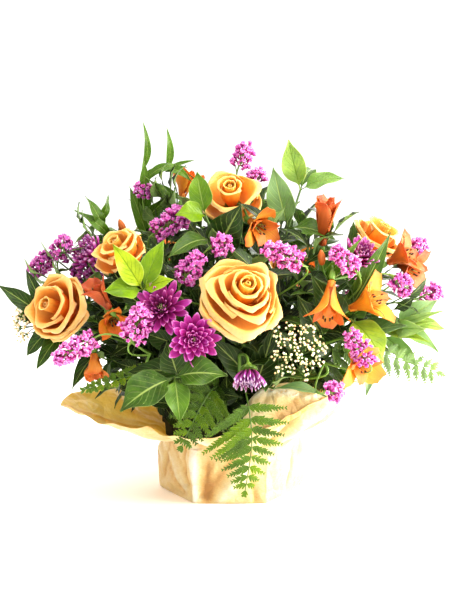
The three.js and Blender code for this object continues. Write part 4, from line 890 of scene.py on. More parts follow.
def leafGrid(root, tip, wide, face, outline="broad", sag=0.16, fold=0.3, twist=0, wave=0.06, bend=0.0,
             phase=0.0, rows=33, cols=11, teeth=0):
    root = np.asarray(root, float)
    along = np.asarray(tip, float) - root
    length = np.linalg.norm(along)
    along = along / length
    normal = unit(np.asarray(face, float) - along * np.dot(face, along))
    side = np.cross(along, normal)
    v, u = gridOf(rows, cols)
    half = wide / 2 * flow(outlines[outline], v)
    if teeth:
        half = half * (1 + 0.09 * np.abs(u) * ((v * teeth) % 1 - 0.5) * (v > 0.15))
    arch = length * sag * (np.sin(math.pi * v) * 0.6 - v * v * 0.5)
    lift = fold * half * np.abs(u) ** 1.2
    lift = lift + wave * wide * u * u * np.sin(2 * math.pi * (2.2 * v + phase) + np.sign(u))
    if rows > 24:
        # raised ribs over the veins of a fine leaf
        ribs = np.cos(2 * math.pi * (leafLook["veins"] * v - leafLook["veinLean"] * np.abs(u)))
        lift = lift + -0.03 * wide * ribs * np.abs(u) * (1 - u * u)
    turn = np.radians(twist) * v
    cos, sin = np.cos(turn)[..., None], np.sin(turn)[..., None]
    sideways = side * cos + np.cross(along, side) * sin
    upwards = normal * cos + np.cross(along, normal) * sin
    grid = root + along * (length * v)[..., None] + normal * arch[..., None]
    grid = grid + sideways * (half * u)[..., None] + upwards * lift[..., None]
    return grid + side * (bend * length * v * v)[..., None]


def addLeaf(piece, leaf, rng, **extra):
    settings = {"tone": 0.4, "frost": 0.0, **leaf, **extra}
    tone, frost = settings.pop("tone"), settings.pop("frost")
    settings.setdefault("phase", rng.uniform())
    settings.setdefault("bend", rng.uniform(-0.08, 0.08))
    tone = tone + rng.uniform(-0.05, 0.05)
    piece.sheet(leafGrid(**settings), leafLook["thickness"], tone=tone, shade=frost)


# Stems. A stem starts in the foam, in line with where it is going.
stems = {"foot": 56, "foamTop": 92}


def stemPath(points, steps=22):
    first = np.asarray(points[0], float)
    spread = math.hypot(first[0], first[1])
    outward = np.array([first[0], first[1], 0]) / spread
    foot = min(max(spread * 0.62, 3), 46)
    start = outward * foot + [0, 0, stems["foot"]]
    leave = outward * min(foot * 1.1, 50) + [0, 0, stems["foamTop"] + 3]
    return route(np.array([start, leave, first, *points[1:]]), steps)


def stemTo(base, facing, run, steps=22):
    # from the foam to the back of a bloom, arriving along the way it faces
    base = np.array(base, float)
    back = base - np.asarray(facing, float) * run
    reach = min(0.42, 52 / max(math.hypot(back[0], back[1]), 1))
    low = stems["foamTop"] + 14
    height = max(low, blend(low, back[2], 0.3))
    return stemPath([[back[0] * reach, back[1] * reach, height], back, base], steps)


def nearestOn(path, place):
    return path[np.argmin(np.linalg.norm(path - np.asarray(place, float), axis=1))]


def branchPath(start, behind, seat, steps=10):
    t = np.linspace(0, 1, steps)[:, None]
    middle = blend(start, behind, 0.6)
    return (1 - t) ** 3 * start + 3 * (1 - t) ** 2 * t * middle + 3 * (1 - t) * t * t * behind + t**3 * seat


# Roses: name, place, facing, width, turn, cup, shade, and the turn of each layer of petals
roses = rowsOf("name at facing across turn cup shade spiral", [
    ("front", (11, -150, 219), (0.24, -0.76, 0.6), 75, 290, 0.0, 0.0, (0, 0.4, 1.5, 0.0, 0.14, -0.12, 1.0),
     {"corner": 1.45}),
    ("left", (-162, -84, 196), (-0.56, -0.76, 0.34), 67, 100, 0.6, 0.6, (0, 0, 1, 2, 3, 4, 5),
     {"layers": (0, 1, 3, 4, 5, 6)}),
    ("upper_left", (-101, -96, 250), (-0.4, -0.5, 0.76), 56, 5, 0.9, 0.3, (0, 0, 2, 4, 1, 3, 5),
     {"layers": (0, 1, 3, 4, 6)}),
    ("top", (1, -44, 298), (-0.08, -0.7, 0.7), 62, 200, 0.6, 0.25, (0, 0, 1, 3, 5, 2, 4),
     {"layers": (0, 1, 2, 4, 6)}),
    ("right", (146, 12, 252), (0.5, -0.34, 0.8), 60, 25, 0.9, 0.5, (0, 0, 1, 2, 4, 5, 3),
     {"layers": (0, 1, 3, 5, 6)}),
    ("back_left", (-82, 128, 226), (-0.4, 0.78, 0.48), 64, 12, 0.5, 0.2, (0, 0, 1, 2, 3, 4, 5)),
    ("back_right", (78, 142, 214), (0.42, 0.82, 0.4), 66, 50, 0.3, 0.6, (0, 0, 2, 1, 3, 5, 4)),
])
rosePetals = {
    "size": 76,
    "depth": 26,
    "thickness": 0.36,
    "rows": 14,
    "columns": 21,
    # layers from the core outwards, at the size above: petals, half the angle that each spans, radii and
    # heights up its middle, how cornered the layer is, how far a tip stands out and its sides roll down
    "layers": rowsOf("petals span radii heights corner point roll", [
        (2, 150, [1, 2.4, 3, 2.8, 2.2, 1.6], [10, 20, 32, 42, 45.5, 46.5], 0, 0, 1),
        (3, 118, [2, 5, 7, 7, 6.6, 7.4], [9, 19, 31, 42, 46.5, 47], 0.1, 0.5, 2),
        (3, 98, [3, 8, 12, 12.6, 13, 15.4], [8, 17, 29, 40, 44.5, 43.8], 0.24, 1.2, 4),
        (3, 90, [4, 11, 17.5, 20, 22, 26], [6, 14, 25, 36.5, 40, 38], 0.36, 2.5, 6),
        (3, 80, [4, 14, 23, 28, 31, 35.4], [4, 10.5, 20.5, 30.5, 33, 30], 0.38, 4, 8),
        (3, 72, [4, 17, 28, 33.5, 37, 40], [2, 7, 14, 22.5, 24, 18.5], 0.3, 4.5, 8),
        (3, 66, [4, 18, 29, 36, 39, 39.5], [0, 4, 8.5, 14, 14, 10], 0.12, 2, 6),
    ]),
}


def rosePetal(layer, far, rose, middle, rng):
    cup = rose["cup"]
    v, u = gridOf(rosePetals["rows"], rosePetals["columns"])
    v, side = v**0.85, np.abs(u)
    radius = flow(layer["radii"], v) * (1 - 0.16 * cup * far) * rng.uniform(0.95, 1.05)
    radius = radius + rng.uniform(-1.8, 1.8) * far * v**2
    rise = 17 * cup * far + rng.uniform(-1.2, 1.2) * (1 + 1.6 * far)
    height = flow(layer["heights"], v) + rise * v**0.8
    widen = (0.3 + 0.7 * np.sin(math.pi / 2 * np.minimum(1, 1.5 * v))) * (1 - 0.16 * far * v**5)
    half = math.radians(layer["span"]) * widen * rng.uniform(0.92, 1.06)
    # petals meet as the sides of a rounded triangle, each tip standing out between sides that roll back
    third = math.pi / 3
    away = third - np.sqrt(((half * side + third) % (2 * third) - third) ** 2 + 0.015) + 0.06
    radius = radius * (1 - layer["corner"] * rose.get("corner", 1) * v**1.5 * (1 - 0.5 / np.cos(away)))
    tip = layer["point"] * (0.55 - side**1.2) * v**2.5
    roll = layer["roll"] * (side**2.6 * v**2 * rng.uniform(0.8, 1.2) + 0.2 * side * v**3)
    tuck = (0.8 + 0.8 * far) * u * np.minimum(1, 3 * v) - 1.2 * side**8
    swing, quick, nick = rng.uniform(0, 2, 3)
    ripple = (0.2 + 1.7 * far) * np.sin(math.pi * (1.7 * u + swing)) * v**3
    ripple = ripple + 1.0 * far * np.sin(math.pi * (4.3 * u + quick)) * v**5
    frill = 0.5 * far * np.sin(math.pi * (9 * u + nick)) * v**8
    # a shallow dent down the middle of a petal
    dent = -1.4 * far * np.exp(-((u - 0.3 * (swing - 1)) / 0.34) ** 2) * np.sin(math.pi * v) * v
    radius = radius + tip + tuck + ripple + frill + dent + 0.3 * far * layer["roll"] * side**3 * v**3
    return rings(radius, middle + half * u, height - roll + 0.8 * ripple + frill)


def makeRose(rose, seed):
    rng = np.random.default_rng(40 + seed)
    scale = rose["across"] / rosePetals["size"]
    facing = unit(rose["facing"])
    base = np.array(rose["at"]) - facing * rosePetals["depth"] * scale
    matrix = frameAt(base, facing, rose["turn"])
    piece = Piece("rose_bloom_" + rose["name"])
    layers = rosePetals["layers"]
    for n in rose.get("layers", range(len(layers))):
        layer, far = layers[n], n / (len(layers) - 1)
        for k in range(layer["petals"]):
            middle = 2 * math.pi * k / layer["petals"] + rose["spiral"][n] + rng.uniform(-0.12, 0.12)
            grid = rosePetal(layer, far, rose, middle, rng) * scale
            shade = rose["shade"] + rng.uniform(-0.08, 0.08)
            piece.sheet(grid, rosePetals["thickness"], matrix=matrix, tone=far, shade=shade)
    piece.finish(["rose"], ["rose_" + rose["name"]], "rose")
    return rose["name"], base, facing, scale


def makeRoseStem(name, base, facing, scale, seed):
    rng = np.random.default_rng(60 + seed)
    seat = base - facing * 0.4
    piece = Piece("rose_stalk_" + name)
    path = stemTo(seat - facing * 3, facing, 46 * scale)
    piece.stalk(path, 4.2, 3.8, tone=0.5)
    matrix = frameAt(seat, facing, rng.uniform(0, 70))
    # receptacle, then five sepals and two leaves
    piece.lathe([(0, -9), (2.2, -8.4), (3.4, -6), (4.2, -3.2), (4.4, -1), (3.8, 0)], matrix, 1, tone=0.55)
    for k in range(5):
        way = around(1, math.radians(72 * k))
        tip = way * (21 * scale) + [0, 0, -8 - 5 * rng.uniform()]
        root = way * 2.5 + [0, 0, -1.5]
        grid = leafGrid(root, tip, 6.5, (0, 0, 1), "slim", sag=0.25, fold=0.25, rows=9, cols=5)
        piece.sheet(grid, 0.5, 0, matrix, tone=0.5)
    for share, turn in ((0.72, 0.6), (0.58, -1.1)):
        place, ahead = flow(path, share), unit(flow(path, share + 0.04) - flow(path, share - 0.04))
        side = turnAbout(unit(np.cross(ahead, [0, 0, 1])), ahead, turn)
        tip = place + side * 40 + ahead * 22
        addLeaf(piece, {"root": place, "tip": tip, "wide": 24, "face": ahead}, rng, tone=0.26, teeth=12)
    piece.finish(["leaf", "stem"], ["rose_stem_" + name], "stem")


builtRoses = [makeRose(rose, k) for k, rose in enumerate(roses)]
for k, rose in enumerate(builtRoses):
    makeRoseStem(*rose, k)
print("roses are done")


# Spray mums: name, place, facing, width, how far open, shade
mums = rowsOf("name at facing across open shade", [
    ("left_upper", (-62, -148, 206), (-0.18, -0.9, 0.4), 46, 0.95, 0.1),
    ("left_lower", (-33, -160, 179), (0.12, -0.98, 0.1), 43, 0.8, 0.0,
     {"petals": 60, "width": 1.15, "tone": 0.86}),
    ("drooping", (16, -168, 148), (0.02, -0.62, -0.78), 36, 0.36, 0.85, {"petals": 96, "width": 0.42}),
    ("left_side", (-136, -44, 243), (-0.6, -0.5, 0.62), 40, 0.5, 0.4),
    ("right_side", (124, -66, 245), (0.3, -0.62, 0.72), 38, 0.7, 0.3),
    ("back", (-8, 158, 178), (-0.1, 0.95, 0.3), 46, 0.95, 0.1),
])
# stems: name, mums, and the place where the stem forks
mumGroups = rowsOf("name heads fork", [
    ("left", ["left_upper", "left_lower", "left_side"], (-62, -52, 166)),
    ("front", ["drooping"], (8, -118, 160)),
    ("right", ["right_side", "back"], (46, 30, 168)),
])
mumPetal = {"width": 0.31, "cup": 0.1, "rows": 8, "columns": 5, "thickness": 0.022}
mumLook = {
    "petals": 52,
    "depth": 5,
    "innerSize": 0.4,
    "root": 0.24,
    "height": 5.0,
    "scatter": 0.14,
    # lift in degrees of the outer and the inner petals, on a closed and on an open head
    "outerLift": (64, -4),
    "innerLift": (84, 54),
    "discBuds": 34,
    "discShare": 0.25,
    "budSize": 1.7,
}
lying = frameAt((0, 0, 0), (0, 1, 0))


def makePetalShape():
    # a strap petal of unit length along +Y
    v, u = gridOf(mumPetal["rows"], mumPetal["columns"])
    half = mumPetal["width"] / 2 * flow([0.3, 0.46, 0.7, 0.95, 1.0, 0.8, 0.2], v)
    cup = mumPetal["cup"] * u * u * (0.5 + 0.5 * v) + 0.12 * v**3 - 0.05 * np.sin(math.pi * v)
    part = Piece("mum strap petal")
    part.sheet(np.stack([half * u, v, cup], -1), mumPetal["thickness"])
    return part.keep()


def makeBead():
    # a small closed bud of a few dozen faces, lying along +Y
    t = np.linspace(0.06, 0.94, 4)
    part = Piece("small bud")
    part.lathe(np.stack([0.5 * np.sin(math.pi * t) ** 0.8, t], -1), lying, segments=6)
    return part.keep()


petalShape = makePetalShape()
bead = makeBead()


def makeMum(mum, seed):
    facing = unit(mum["facing"])
    size, opened = mum["across"] / 2, mum["open"]
    look = mumLook
    base = np.array(mum["at"]) - facing * look["depth"]
    matrix = frameAt(base, facing)
    bloom = grow(bloomTree, {
        "Petal": petalShape, "Petals": mum.get("petals", look["petals"]), "Reach": size,
        "Width": mum.get("width", 1.0), "Inner Size": look["innerSize"], "Root": look["root"],
        "Outer Lift": math.radians(blend(*look["outerLift"], opened)),
        "Inner Lift": math.radians(blend(*look["innerLift"], opened)),
        "Height": look["height"], "Scatter": look["scatter"], "Seed": seed, "Finish": finishes["mum"]})
    piece = Piece("mum_bloom_" + mum["name"])
    piece.mesh(bloom, matrix, **{key: mum[key] for key in ("shade", "tone") if key in mum})
    rng = np.random.default_rng(80 + seed)
    guides = []
    for k in range(look["discBuds"]):
        far = math.sqrt((k + 0.5) / look["discBuds"])
        spot = around(size * look["discShare"] * far, k * goldenAngle, 7.5 - 3 * far)
        guides.append((spot, (0, 0, 1), (1, 0, 0), 1.0, 0.9 - 0.8 * far + rng.uniform(-0.1, 0.1)))
    piece.mesh(copiesOf(bead, guides, "disc", size=look["budSize"], flutter=0.2), matrix, slot=1)
    piece.finish(["mum", "disc"], ["mum_" + mum["name"]], "mum")
    return base, facing


def makeMumStem(group, heads, seed):
    rng = np.random.default_rng(100 + seed)
    piece = Piece("mum_stalk_" + group["name"])
    path = stemTo(group["fork"], (0, 0, 1), 20)
    piece.stalk(path, 3.6, 3.2, tone=0.5)
    start = flow(path, 0.96)
    for base, facing in heads:
        seat = base - facing * 1.35
        matrix = frameAt(seat, facing)
        piece.lathe([(1.6, -7), (2.2, -6), (4, -3), (6.2, -0.6), (6, 0.2)], matrix, 1, tone=0.55)
        # small green bracts round the cup
        for k in range(10):
            way = around(1, k * 2 * math.pi / 10 + 0.2)
            root, tip = way * 3.5 + [0, 0, -3], way * 9 + [0, 0, 1.5]
            grid = leafGrid(root, tip, 3.2, (0, 0, -1), "slim", rows=6, cols=3)
            piece.sheet(grid, 0.4, 0, matrix, tone=0.5)
        piece.stalk(branchPath(start, seat - facing * 16, seat - facing * 2), 2.6, tone=0.5)
    for share in (0.55, 0.75):
        place = flow(path, share)
        way = unit([rng.uniform(-1, 1), rng.uniform(-1, 0.4), 0.5])
        leaf = {"root": place, "tip": place + way * 42, "wide": 22, "face": (0, -0.4, 0.9), "tone": 0.3}
        addLeaf(piece, leaf, rng, teeth=7, wave=0.12)
    piece.finish(["leaf", "stem"], ["mum_stem_" + group["name"]], "stem")


builtMums = {mum["name"]: makeMum(mum, k + 1) for k, mum in enumerate(mums)}
for k, group in enumerate(mumGroups):
    makeMumStem(group, [builtMums[name] for name in group["heads"]], k)
print("mums are done")


# Alstroemeria: name, place, facing, length, how far open, shade
alstroemerias = rowsOf("name at facing length open shade", [
    ("right", (128, -98, 204), (0.82, -0.42, 0.38), 42, 0.8, 0.15),
    ("right_hanging", (90, -124, 206), (-0.12, -0.4, -0.9), 46, 0.6, 0.4),
    ("right_high", (166, -36, 240), (0.8, -0.3, 0.45), 32, 0.65, 0.8),
    ("upright", (90, -62, 276), (0.08, -0.25, 0.96), 50, 0.2, 0.9),
    ("back_top", (-46, 34, 304), (0.2, 0.35, 0.9), 32, 0.4, 0.3),
    ("left", (-119, -116, 212), (-0.5, -0.35, 0.8), 32, 0.2, 1.0),
])
# flowers that share the main stems' places in the foam and ride with the arrangement
moreFlowers = rowsOf("name at facing length open shade", [
    ("low_left", (-126, -108, 146), (0.1, -0.5, -0.85), 24, 0.1, 0.5),
    ("by_mum", (-110, -100, 188), (0.3, -0.8, -0.3), 24, 0.35, 0.3),
    ("under_top", (26, -72, 272), (0.5, -0.7, -0.3), 28, 0.6, 0.4),
    ("low_right", (118, -126, 152), (0.4, -0.7, -0.4), 32, 0.7, 0.1),
    ("far_right", (176, -20, 226), (0.6, -0.5, -0.2), 28, 0.6, 0.9),
])
# stems: name, flowers, bud (place, facing and length), the points it passes, and leaves (root, tip, width,
# facing); a free leaf grows from a twig and not from the stem
alstroemeriaStems = rowsOf("name heads bud via leaves", [
    ("right", ["right", "right_hanging", "right_high"], ((84, -104, 246), (-0.1, -0.5, 0.86), 18),
     [(34, -16, 130), (70, -48, 190), (92, -72, 222)], [
        ((90, -70, 220), (118, -96, 262), 12, (0, -0.9, 0.4)),
        ((76, -54, 198), (60, -104, 214), 13, (0, -0.8, 0.5))]),
    ("top", ["upright", "back_top"], ((40, -52, 258), (0.2, -0.5, 0.8), 20),
     [(8, 8, 150), (16, 12, 210), (24, 6, 246)], [
        ((22, 8, 240), (40, 44, 282), 13, (0, 0.6, 0.7)),
        ((18, 10, 222), (60, 30, 246), 14, (0.2, 0.1, 0.95))]),
    ("tall_left", ["left"], ((-106, -14, 266), (-0.3, -0.2, 0.9), 18),
     [(-30, 8, 140), (-66, 10, 210), (-84, 8, 262), (-88, 8, 300), (-84, 10, 336)], [
        ((-85, 9, 322), (-70, 8, 362), 7.5, (0.2, -1, 0), {"twist": 20, "bend": -0.42, "sag": 0.1}),
        ((-63, 12, 322), (-48, 14, 356), 8, (0, -1, 0.1),
         {"twist": 20, "bend": -0.44, "sag": 0.1, "free": True}),
        ((-88, 8, 310), (-44, 14, 328), 9, (0, -0.6, 0.7), {"sag": 0.36}),
        ((-64, 12, 320), (-38, 6, 314), 9, (0, -0.6, 0.7), {"sag": 0.4, "free": True}),
        ((-64, 12, 321), (-36, 14, 332), 4, (0, -0.6, 0.7), {"sag": 0.1, "free": True}),
        ((-87, 8, 316), (-68, 8, 326), 3, (0, -0.6, 0.7), {"sag": 0.1}),
        ((-88, 8, 270), (-88, 2, 330), 15, (0.3, -1, 0), {"sag": 0.06, "twist": 20, "bend": 0.06}),
        ((-86, 8, 250), (-96, 2, 306), 14, (-0.2, -1, 0), {"sag": 0.06, "twist": -20}),
        ((-88, 8, 290), (-44, -4, 298), 12, (0.1, -0.5, 0.8), {"sag": 0.4}),
        ((-86, 8, 264), (-60, -6, 300), 13, (0, -0.9, 0.3)),
        ((-120, -2, 256), (-148, -10, 284), 12, (-0.1, -0.9, 0.4), {"sag": 0.7, "free": True}),
        ((-126, -3, 264), (-140, -8, 296), 12, (0.2, -0.9, 0.1), {"sag": 0.6, "free": True}),
        ((-130, -4, 270), (-118, 0, 296), 9, (0.3, -0.9, 0.2), {"sag": 0.6, "free": True}),
        ((-112, 0, 246), (-158, -6, 250), 11, (-0.1, -0.8, 0.5), {"sag": 0.6, "free": True}),
        ((-128, -3, 267), (-136, -20, 262), 13, (-0.4, -0.9, 0.2), {"sag": 0.4, "free": True})],
     {"twigs": [[(-80, 9, 232), (-104, 2, 240), (-130, -4, 271)],
                [(-88, 8, 302), (-76, 10, 318), (-62, 12, 324)]]}),
])
# the ovary under a flower, as radius and height
ovary = [(0.6, -9.5), (2.2, -7.5), (3, -4), (2.6, -1), (2.2, 0)]


def tepalGrid(flower, outer, middle, rng):
    length, opened = flower["length"], flower["open"]
    v, u = gridOf(13, 9)
    flare = opened * (24 if outer else 17)
    radius = (3.4 if outer else 2) + (4.6 if outer else 2.6) * v + flare * v**2.2
    height = 3 + length * (0.92 * v - 0.2 * opened * v**3)
    outline = [0.12, 0.3, 0.62, 0.9, 1.04, 1.0, 0.5] if outer else [0.12, 0.24, 0.5, 0.8, 1.0, 0.86, 0.3]
    half = (12 if outer else 8) * flow(outline, v) * (0.6 + 0.4 * opened)
    angle = middle + np.minimum(half / radius, 0.96) * u
    ruffle = 1.9 * u * u * np.sin(9 * v + 2 * u + rng.uniform(0, 6)) * v
    return rings(radius + ruffle + 1.2 * u * u * v, angle, height)


def makeAlstroemeria(flower, seed, nodes):
    rng = np.random.default_rng(120 + seed)
    facing = unit(flower["facing"])
    base = np.array(flower["at"]) - facing * flower["length"] / 2
    matrix = frameAt(base, facing)
    shade = flower["shade"]
    piece = Piece("alstroemeria_bloom_" + flower["name"])
    for k in range(6):
        outer = k % 2 == 0
        grid = tepalGrid(flower, outer, math.radians(60 * k), rng)
        tone, lighter = (0.2, 0.0) if outer else (0.9, -0.1)
        piece.sheet(grid, 0.5, 0, matrix, tone=tone, shade=shade + lighter)
    piece.lathe([(1, 0), (3.6, 1.5), (3.5, 7.5), (1, 9)], matrix, shade=shade)
    for k in range(6):
        angle = math.radians(60 * k + 30)
        tip = around(2.2 + 3.2 * flower["open"], angle, flower["length"] * rng.uniform(0.62, 0.8))
        line = moved(route([around(1, angle, 7), tip * [0.5, 0.5, 0.55], tip], 7), matrix)
        piece.stalk(line, 0.9, 0.7, tone=0.9)
        anther = [(0.3, 0), (1.0, 0.8), (0.9, 2.6), (0.2, 3.4)]
        piece.lathe(anther, frameAt(line[-1], facing), 1, 6, tone=rng.uniform())
    piece.finish(["alstroemeria", "anther", "stem"], nodes, "alstroemeria")
    return base, facing


def makeAlstroemeriaStem(stem, heads, seed):
    rng = np.random.default_rng(140 + seed)
    piece = Piece("alstroemeria_stalk_" + stem["name"])
    path = stemPath(stem["via"], 30)
    piece.stalk(path, 4.4, 3.4, tone=0.55)
    start = flow(path, 0.3 if stem["name"] == "tall_left" else 0.97)
    for base, facing in heads:
        seat = base - facing * 0.4
        piece.lathe(ovary, frameAt(seat, facing), 1, tone=0.6)
        piece.stalk(branchPath(start, seat - facing * 20, seat - facing * 4), 2.2, tone=0.55)
    place, facing, long = stem["bud"]
    facing = unit(facing)
    base = np.array(place) - facing * long / 2
    profile = [(0.5, 0), (2.6, 0.12), (3.7, 0.38), (3.4, 0.66), (1.8, 0.9), (0.4, 1)]
    profile = [(radius, long * share) for radius, share in profile]
    piece.lathe(profile, frameAt(base, facing), 2, tone=0.3, shade=0.8)
    piece.stalk(branchPath(nearestOn(path, base), base - facing * 8, base + facing * 1.5), 1.8, tone=0.5)
    for twig in stem.get("twigs", []):
        piece.stalk(route([nearestOn(path, twig[0]), *twig[1:]], 10), 2.6, 1.4, tone=0.5)
    for leaf in rowsOf("root tip wide face", stem["leaves"]):
        if not leaf.pop("free", False):
            leaf["root"] = nearestOn(path, leaf["root"])
        leaf = {"tone": 0.52, "twist": 50, "sag": 0.2, **leaf}
        addLeaf(piece, leaf, rng, outline="strap", rows=23, fold=0.18)
    piece.finish(["leaf", "stem", "alstroemeria"], ["alstroemeria_stem_" + stem["name"]], "leaf")


builtFlowers = {
    flower["name"]: makeAlstroemeria(flower, k, ["alstroemeria_" + flower["name"]])
    for k, flower in enumerate(alstroemerias)}
for k, flower in enumerate(moreFlowers):
    base, facing = makeAlstroemeria(flower, 20 + k, [])
    piece = Piece("alstroemeria_stalk_more_" + flower["name"])
    piece.stalk(stemTo(base, facing, 22, 18), 2.4, tone=0.5)
    piece.lathe(ovary, frameAt(base, facing), tone=0.6)
    piece.finish(["stem"], [], "leaf")
for k, stem in enumerate(alstroemeriaStems):
    makeAlstroemeriaStem(stem, [builtFlowers[name] for name in stem["heads"]], k)
print("alstroemerias are done")


# Statice: combs of papery florets on forked stalks
# name, fork, and heads (place, lie, length, shade)
statice = rowsOf("name fork heads", [
    ("front_left", (-74, -112, 158), [
        ((-139, -142, 168), (0.86, 0.1, 0.5), 40, 0.0),
        ((-84, -152, 190), (0.4, -0.1, 0.9), 30, 0.0, {"fat": 1.5})]),
    ("upper_left", (-52, -30, 220), [
        ((-56, -66, 275), (0.8, 0, 0.5), 40, 0.35, {"fat": 1.3}),
        ((-86, 2, 300), (0.1, 0, 1), 12, 0.4)]),
    ("centre", (-24, -60, 196), [
        ((-37, -118, 236), (0.55, 0, 0.84), 30, 0.3, {"fat": 1.2}),
        ((-10, -106, 258), (0.9, 0, 0.3), 16, 0.2)]),
    ("centre_right", (34, -62, 200), [
        ((50, -128, 250), (0.85, -0.1, -0.4), 34, 0.0, {"fat": 1.15})]),
    ("right", (100, -52, 192), [
        ((106, -112, 243), (0.7, 0, -0.7), 28, 0.1),
        ((160, -78, 219), (0.7, 0.1, -0.6), 20, 0.5)]),
    ("right_low", (88, -88, 146), [
        ((118, -136, 166), (0.5, 0, -0.8), 32, 0.1),
        ((92, -152, 130), (1, 0, 0.2), 12, 0.2)]),
    ("top", (18, 4, 280), [
        ((12, 2, 334), (0.35, 0, 0.9), 22, 0.2),
        ((26, -4, 314), (0.1, 0, 1), 10, 0.3)]),
    ("left_far", (-128, -16, 196), [
        ((-184, -28, 232), (0.7, 0, 0.7), 26, 0.5),
        ((-138, -40, 226), (0.4, 0, 0.9), 46, 0.7, {"fat": 1.5}),
        ((-164, -34, 246), (0.3, 0, 0.9), 22, 0.5)]),
    ("right_far", (138, 28, 186), [
        ((190, 22, 240), (0.3, 0, 0.9), 16, 0.2),
        ((200, 12, 196), (0.8, 0, 0.3), 22, 0.2)]),
    ("back", (10, 92, 190), [
        ((-2, 118, 258), (-0.5, 0.3, 0.7), 34, 0.2),
        ((132, 92, 196), (0.8, 0.3, 0.3), 28, 0.2)]),
])
floretLook = {"mouth": 2.3, "depth": 4.4, "lobes": 5, "perMillimetre": 2.9, "atLeast": 18}


def makeFloret():
    # a papery funnel with a lobed frill, aimed along +Y
    lobes, mouth, depth = floretLook["lobes"], floretLook["mouth"], floretLook["depth"]
    turns = np.arange(lobes * 2) * math.pi / lobes
    frill, rise = np.tile([1.0, 0.74], lobes), np.tile([0.5, -0.6], lobes)
    shape = np.array([
        rings(0.5, turns, 0), rings(1.2, turns, depth * 0.55), rings(mouth * frill, turns, depth + rise),
        rings(mouth * 0.8 * frill, turns, depth + 0.4 + rise), rings(0.5, turns, depth + 0.9)])
    part = Piece("statice floret")
    part.tube(shape, lying, [0.0, 0.5, 1.0, 0.86, 0.62])
    return part.keep()


floret = makeFloret()


def addFlorets(piece, place, along, head, rng, seed):
    long, fat = head["long"], head.get("fat", 1.0)
    matrix = frameAt(place, along, rng.uniform(0, 360))
    turned = matrix[:3, :3]
    guides = []
    count = int(long * floretLook["perMillimetre"] * fat) + floretLook["atLeast"]
    for k in range(count):
        share = (k + 0.5) / count
        angle = k * goldenAngle + rng.uniform(-0.3, 0.3)
        swell = math.sin(math.pi * (0.15 + 0.75 * share)) ** 0.6
        far = (2.5 + 4.8 * rng.uniform(0.15, 1)) * swell * fat
        spot = around(far, angle, long * (share - 0.5) + rng.uniform(-1, 1))
        aim = around(1, angle, 0.5 + 0.9 * share + rng.uniform(-0.3, 0.3))
        face = np.array([-math.sin(angle), math.cos(angle), 0.2])
        place = moved(spot, matrix)
        guides.append((place, turned @ unit(aim), turned @ face, rng.uniform(0.6, 1.3), rng.uniform()))
        if k % 5 == 0:
            heart = moved(np.array([0, 0, spot[2] - 5]), matrix)
            piece.stalk([heart, place], 0.9, 0.7, tone=0.7)
    piece.mesh(copiesOf(floret, guides, "statice", flutter=0.6, seed=seed), shade=head["shade"])


def makeStatice(spray, seed):
    rng = np.random.default_rng(160 + seed)
    piece = Piece("statice_spray_" + spray["name"])
    path = stemTo(spray["fork"], (0, 0, 1), 14)
    piece.stalk(path, 3.2, 2.4, tone=0.62)
    start = flow(path, 0.96)
    for head in rowsOf("at lie long shade", spray["heads"]):
        place = np.array(head["at"], float)
        along = unit(head["lie"]) * (np.sign(np.dot(head["lie"], place - start)) or 1)
        foot = place + along * (1.5 - head["long"] / 2)
        piece.stalk(branchPath(start, foot - along * 18, foot), 2.0, 1.6, tone=0.66)
        piece.stalk(np.array([foot, place + along * head["long"] * 0.45]), 1.6, 0.8, tone=0.66)
        addFlorets(piece, place, along, head, rng, seed)
    piece.finish(["statice", "stem"], ["statice_" + spray["name"]], "statice")


for k, spray in enumerate(statice):
    makeStatice(spray, k + 3)
print("statice is done")


# Rice flower: stalks that fan out to knots of cream buds
# name, place, facing, width, height, sprigs, buds on each
riceFlowers = rowsOf("name at facing across height sprigs buds", [
    ("right", (62, -152, 170), (0.16, -0.92, 0.36), 56, 60, 19, 9),
    # the left spray stands against the light, so its buds are darkened as painted shade
    ("left", (-203, -60, 181), (-0.7, -0.68, 0.2), 26, 42, 11, 9, {"dim": 0.85}),
])
riceLook = {"depth": 34, "crown": 11, "knot": 4.6, "budSize": (2.0, 3.0)}


def makeRice(rice, seed):
    rng = np.random.default_rng(180 + seed)
    facing = unit(rice["facing"])
    place = np.array(rice["at"], float)
    root = place - facing * riceLook["depth"]
    piece = Piece("rice_spray_" + rice["name"])
    path = stemTo(root, facing, 12)
    piece.stalk(path, 3.2, 2.2, tone=0.3)
    start = flow(path, 0.97)
    side = unit(np.cross(facing, [0, 0, 1]))
    rise = unit(np.cross(side, facing))
    guides = []
    for k in range(rice["sprigs"]):
        far = math.sqrt((k + 0.5) / rice["sprigs"])
        angle = k * goldenAngle
        knot = (place + side * far * math.cos(angle) * rice["across"] / 2.3
                + rise * far * math.sin(angle) * rice["height"] / 2.3
                - facing * riceLook["crown"] * far * far)
        way = unit(knot - root)
        foot = knot - way * 4
        line = branchPath(start, blend(start, knot, 0.5) + rise * rng.uniform(-4, 4), foot, 8)
        piece.stalk(line, 1.3, 0.9, tone=0.28)
        for b in range(rice["buds"]):
            spin = b * goldenAngle + rng.uniform(0, 1)
            spread = riceLook["knot"] * math.sqrt((b + 0.5) / rice["buds"])
            out = (side * math.cos(spin) + rise * math.sin(spin)) * spread
            aim = unit(way * 1.2 + out / 6)
            spot = knot + out + way * rng.uniform(-2.5, 2.5)
            piece.stalk([foot, blend(foot, spot, 0.5) + way * 1.2, spot + aim * 0.6], 0.6, 0.5, tone=0.45)
            # a spray's factor darkens all its buds as painted shade
            size, tone = rng.uniform(*riceLook["budSize"]), rng.uniform(0.2, 1) * rice.get("dim", 1)
            guides.append((spot, aim, side + 0.1, size, tone))
    piece.mesh(copiesOf(bead, guides, "rice", flutter=0.3, seed=seed))
    piece.finish(["rice", "stem"], ["rice_flower_" + rice["name"]], "rice")


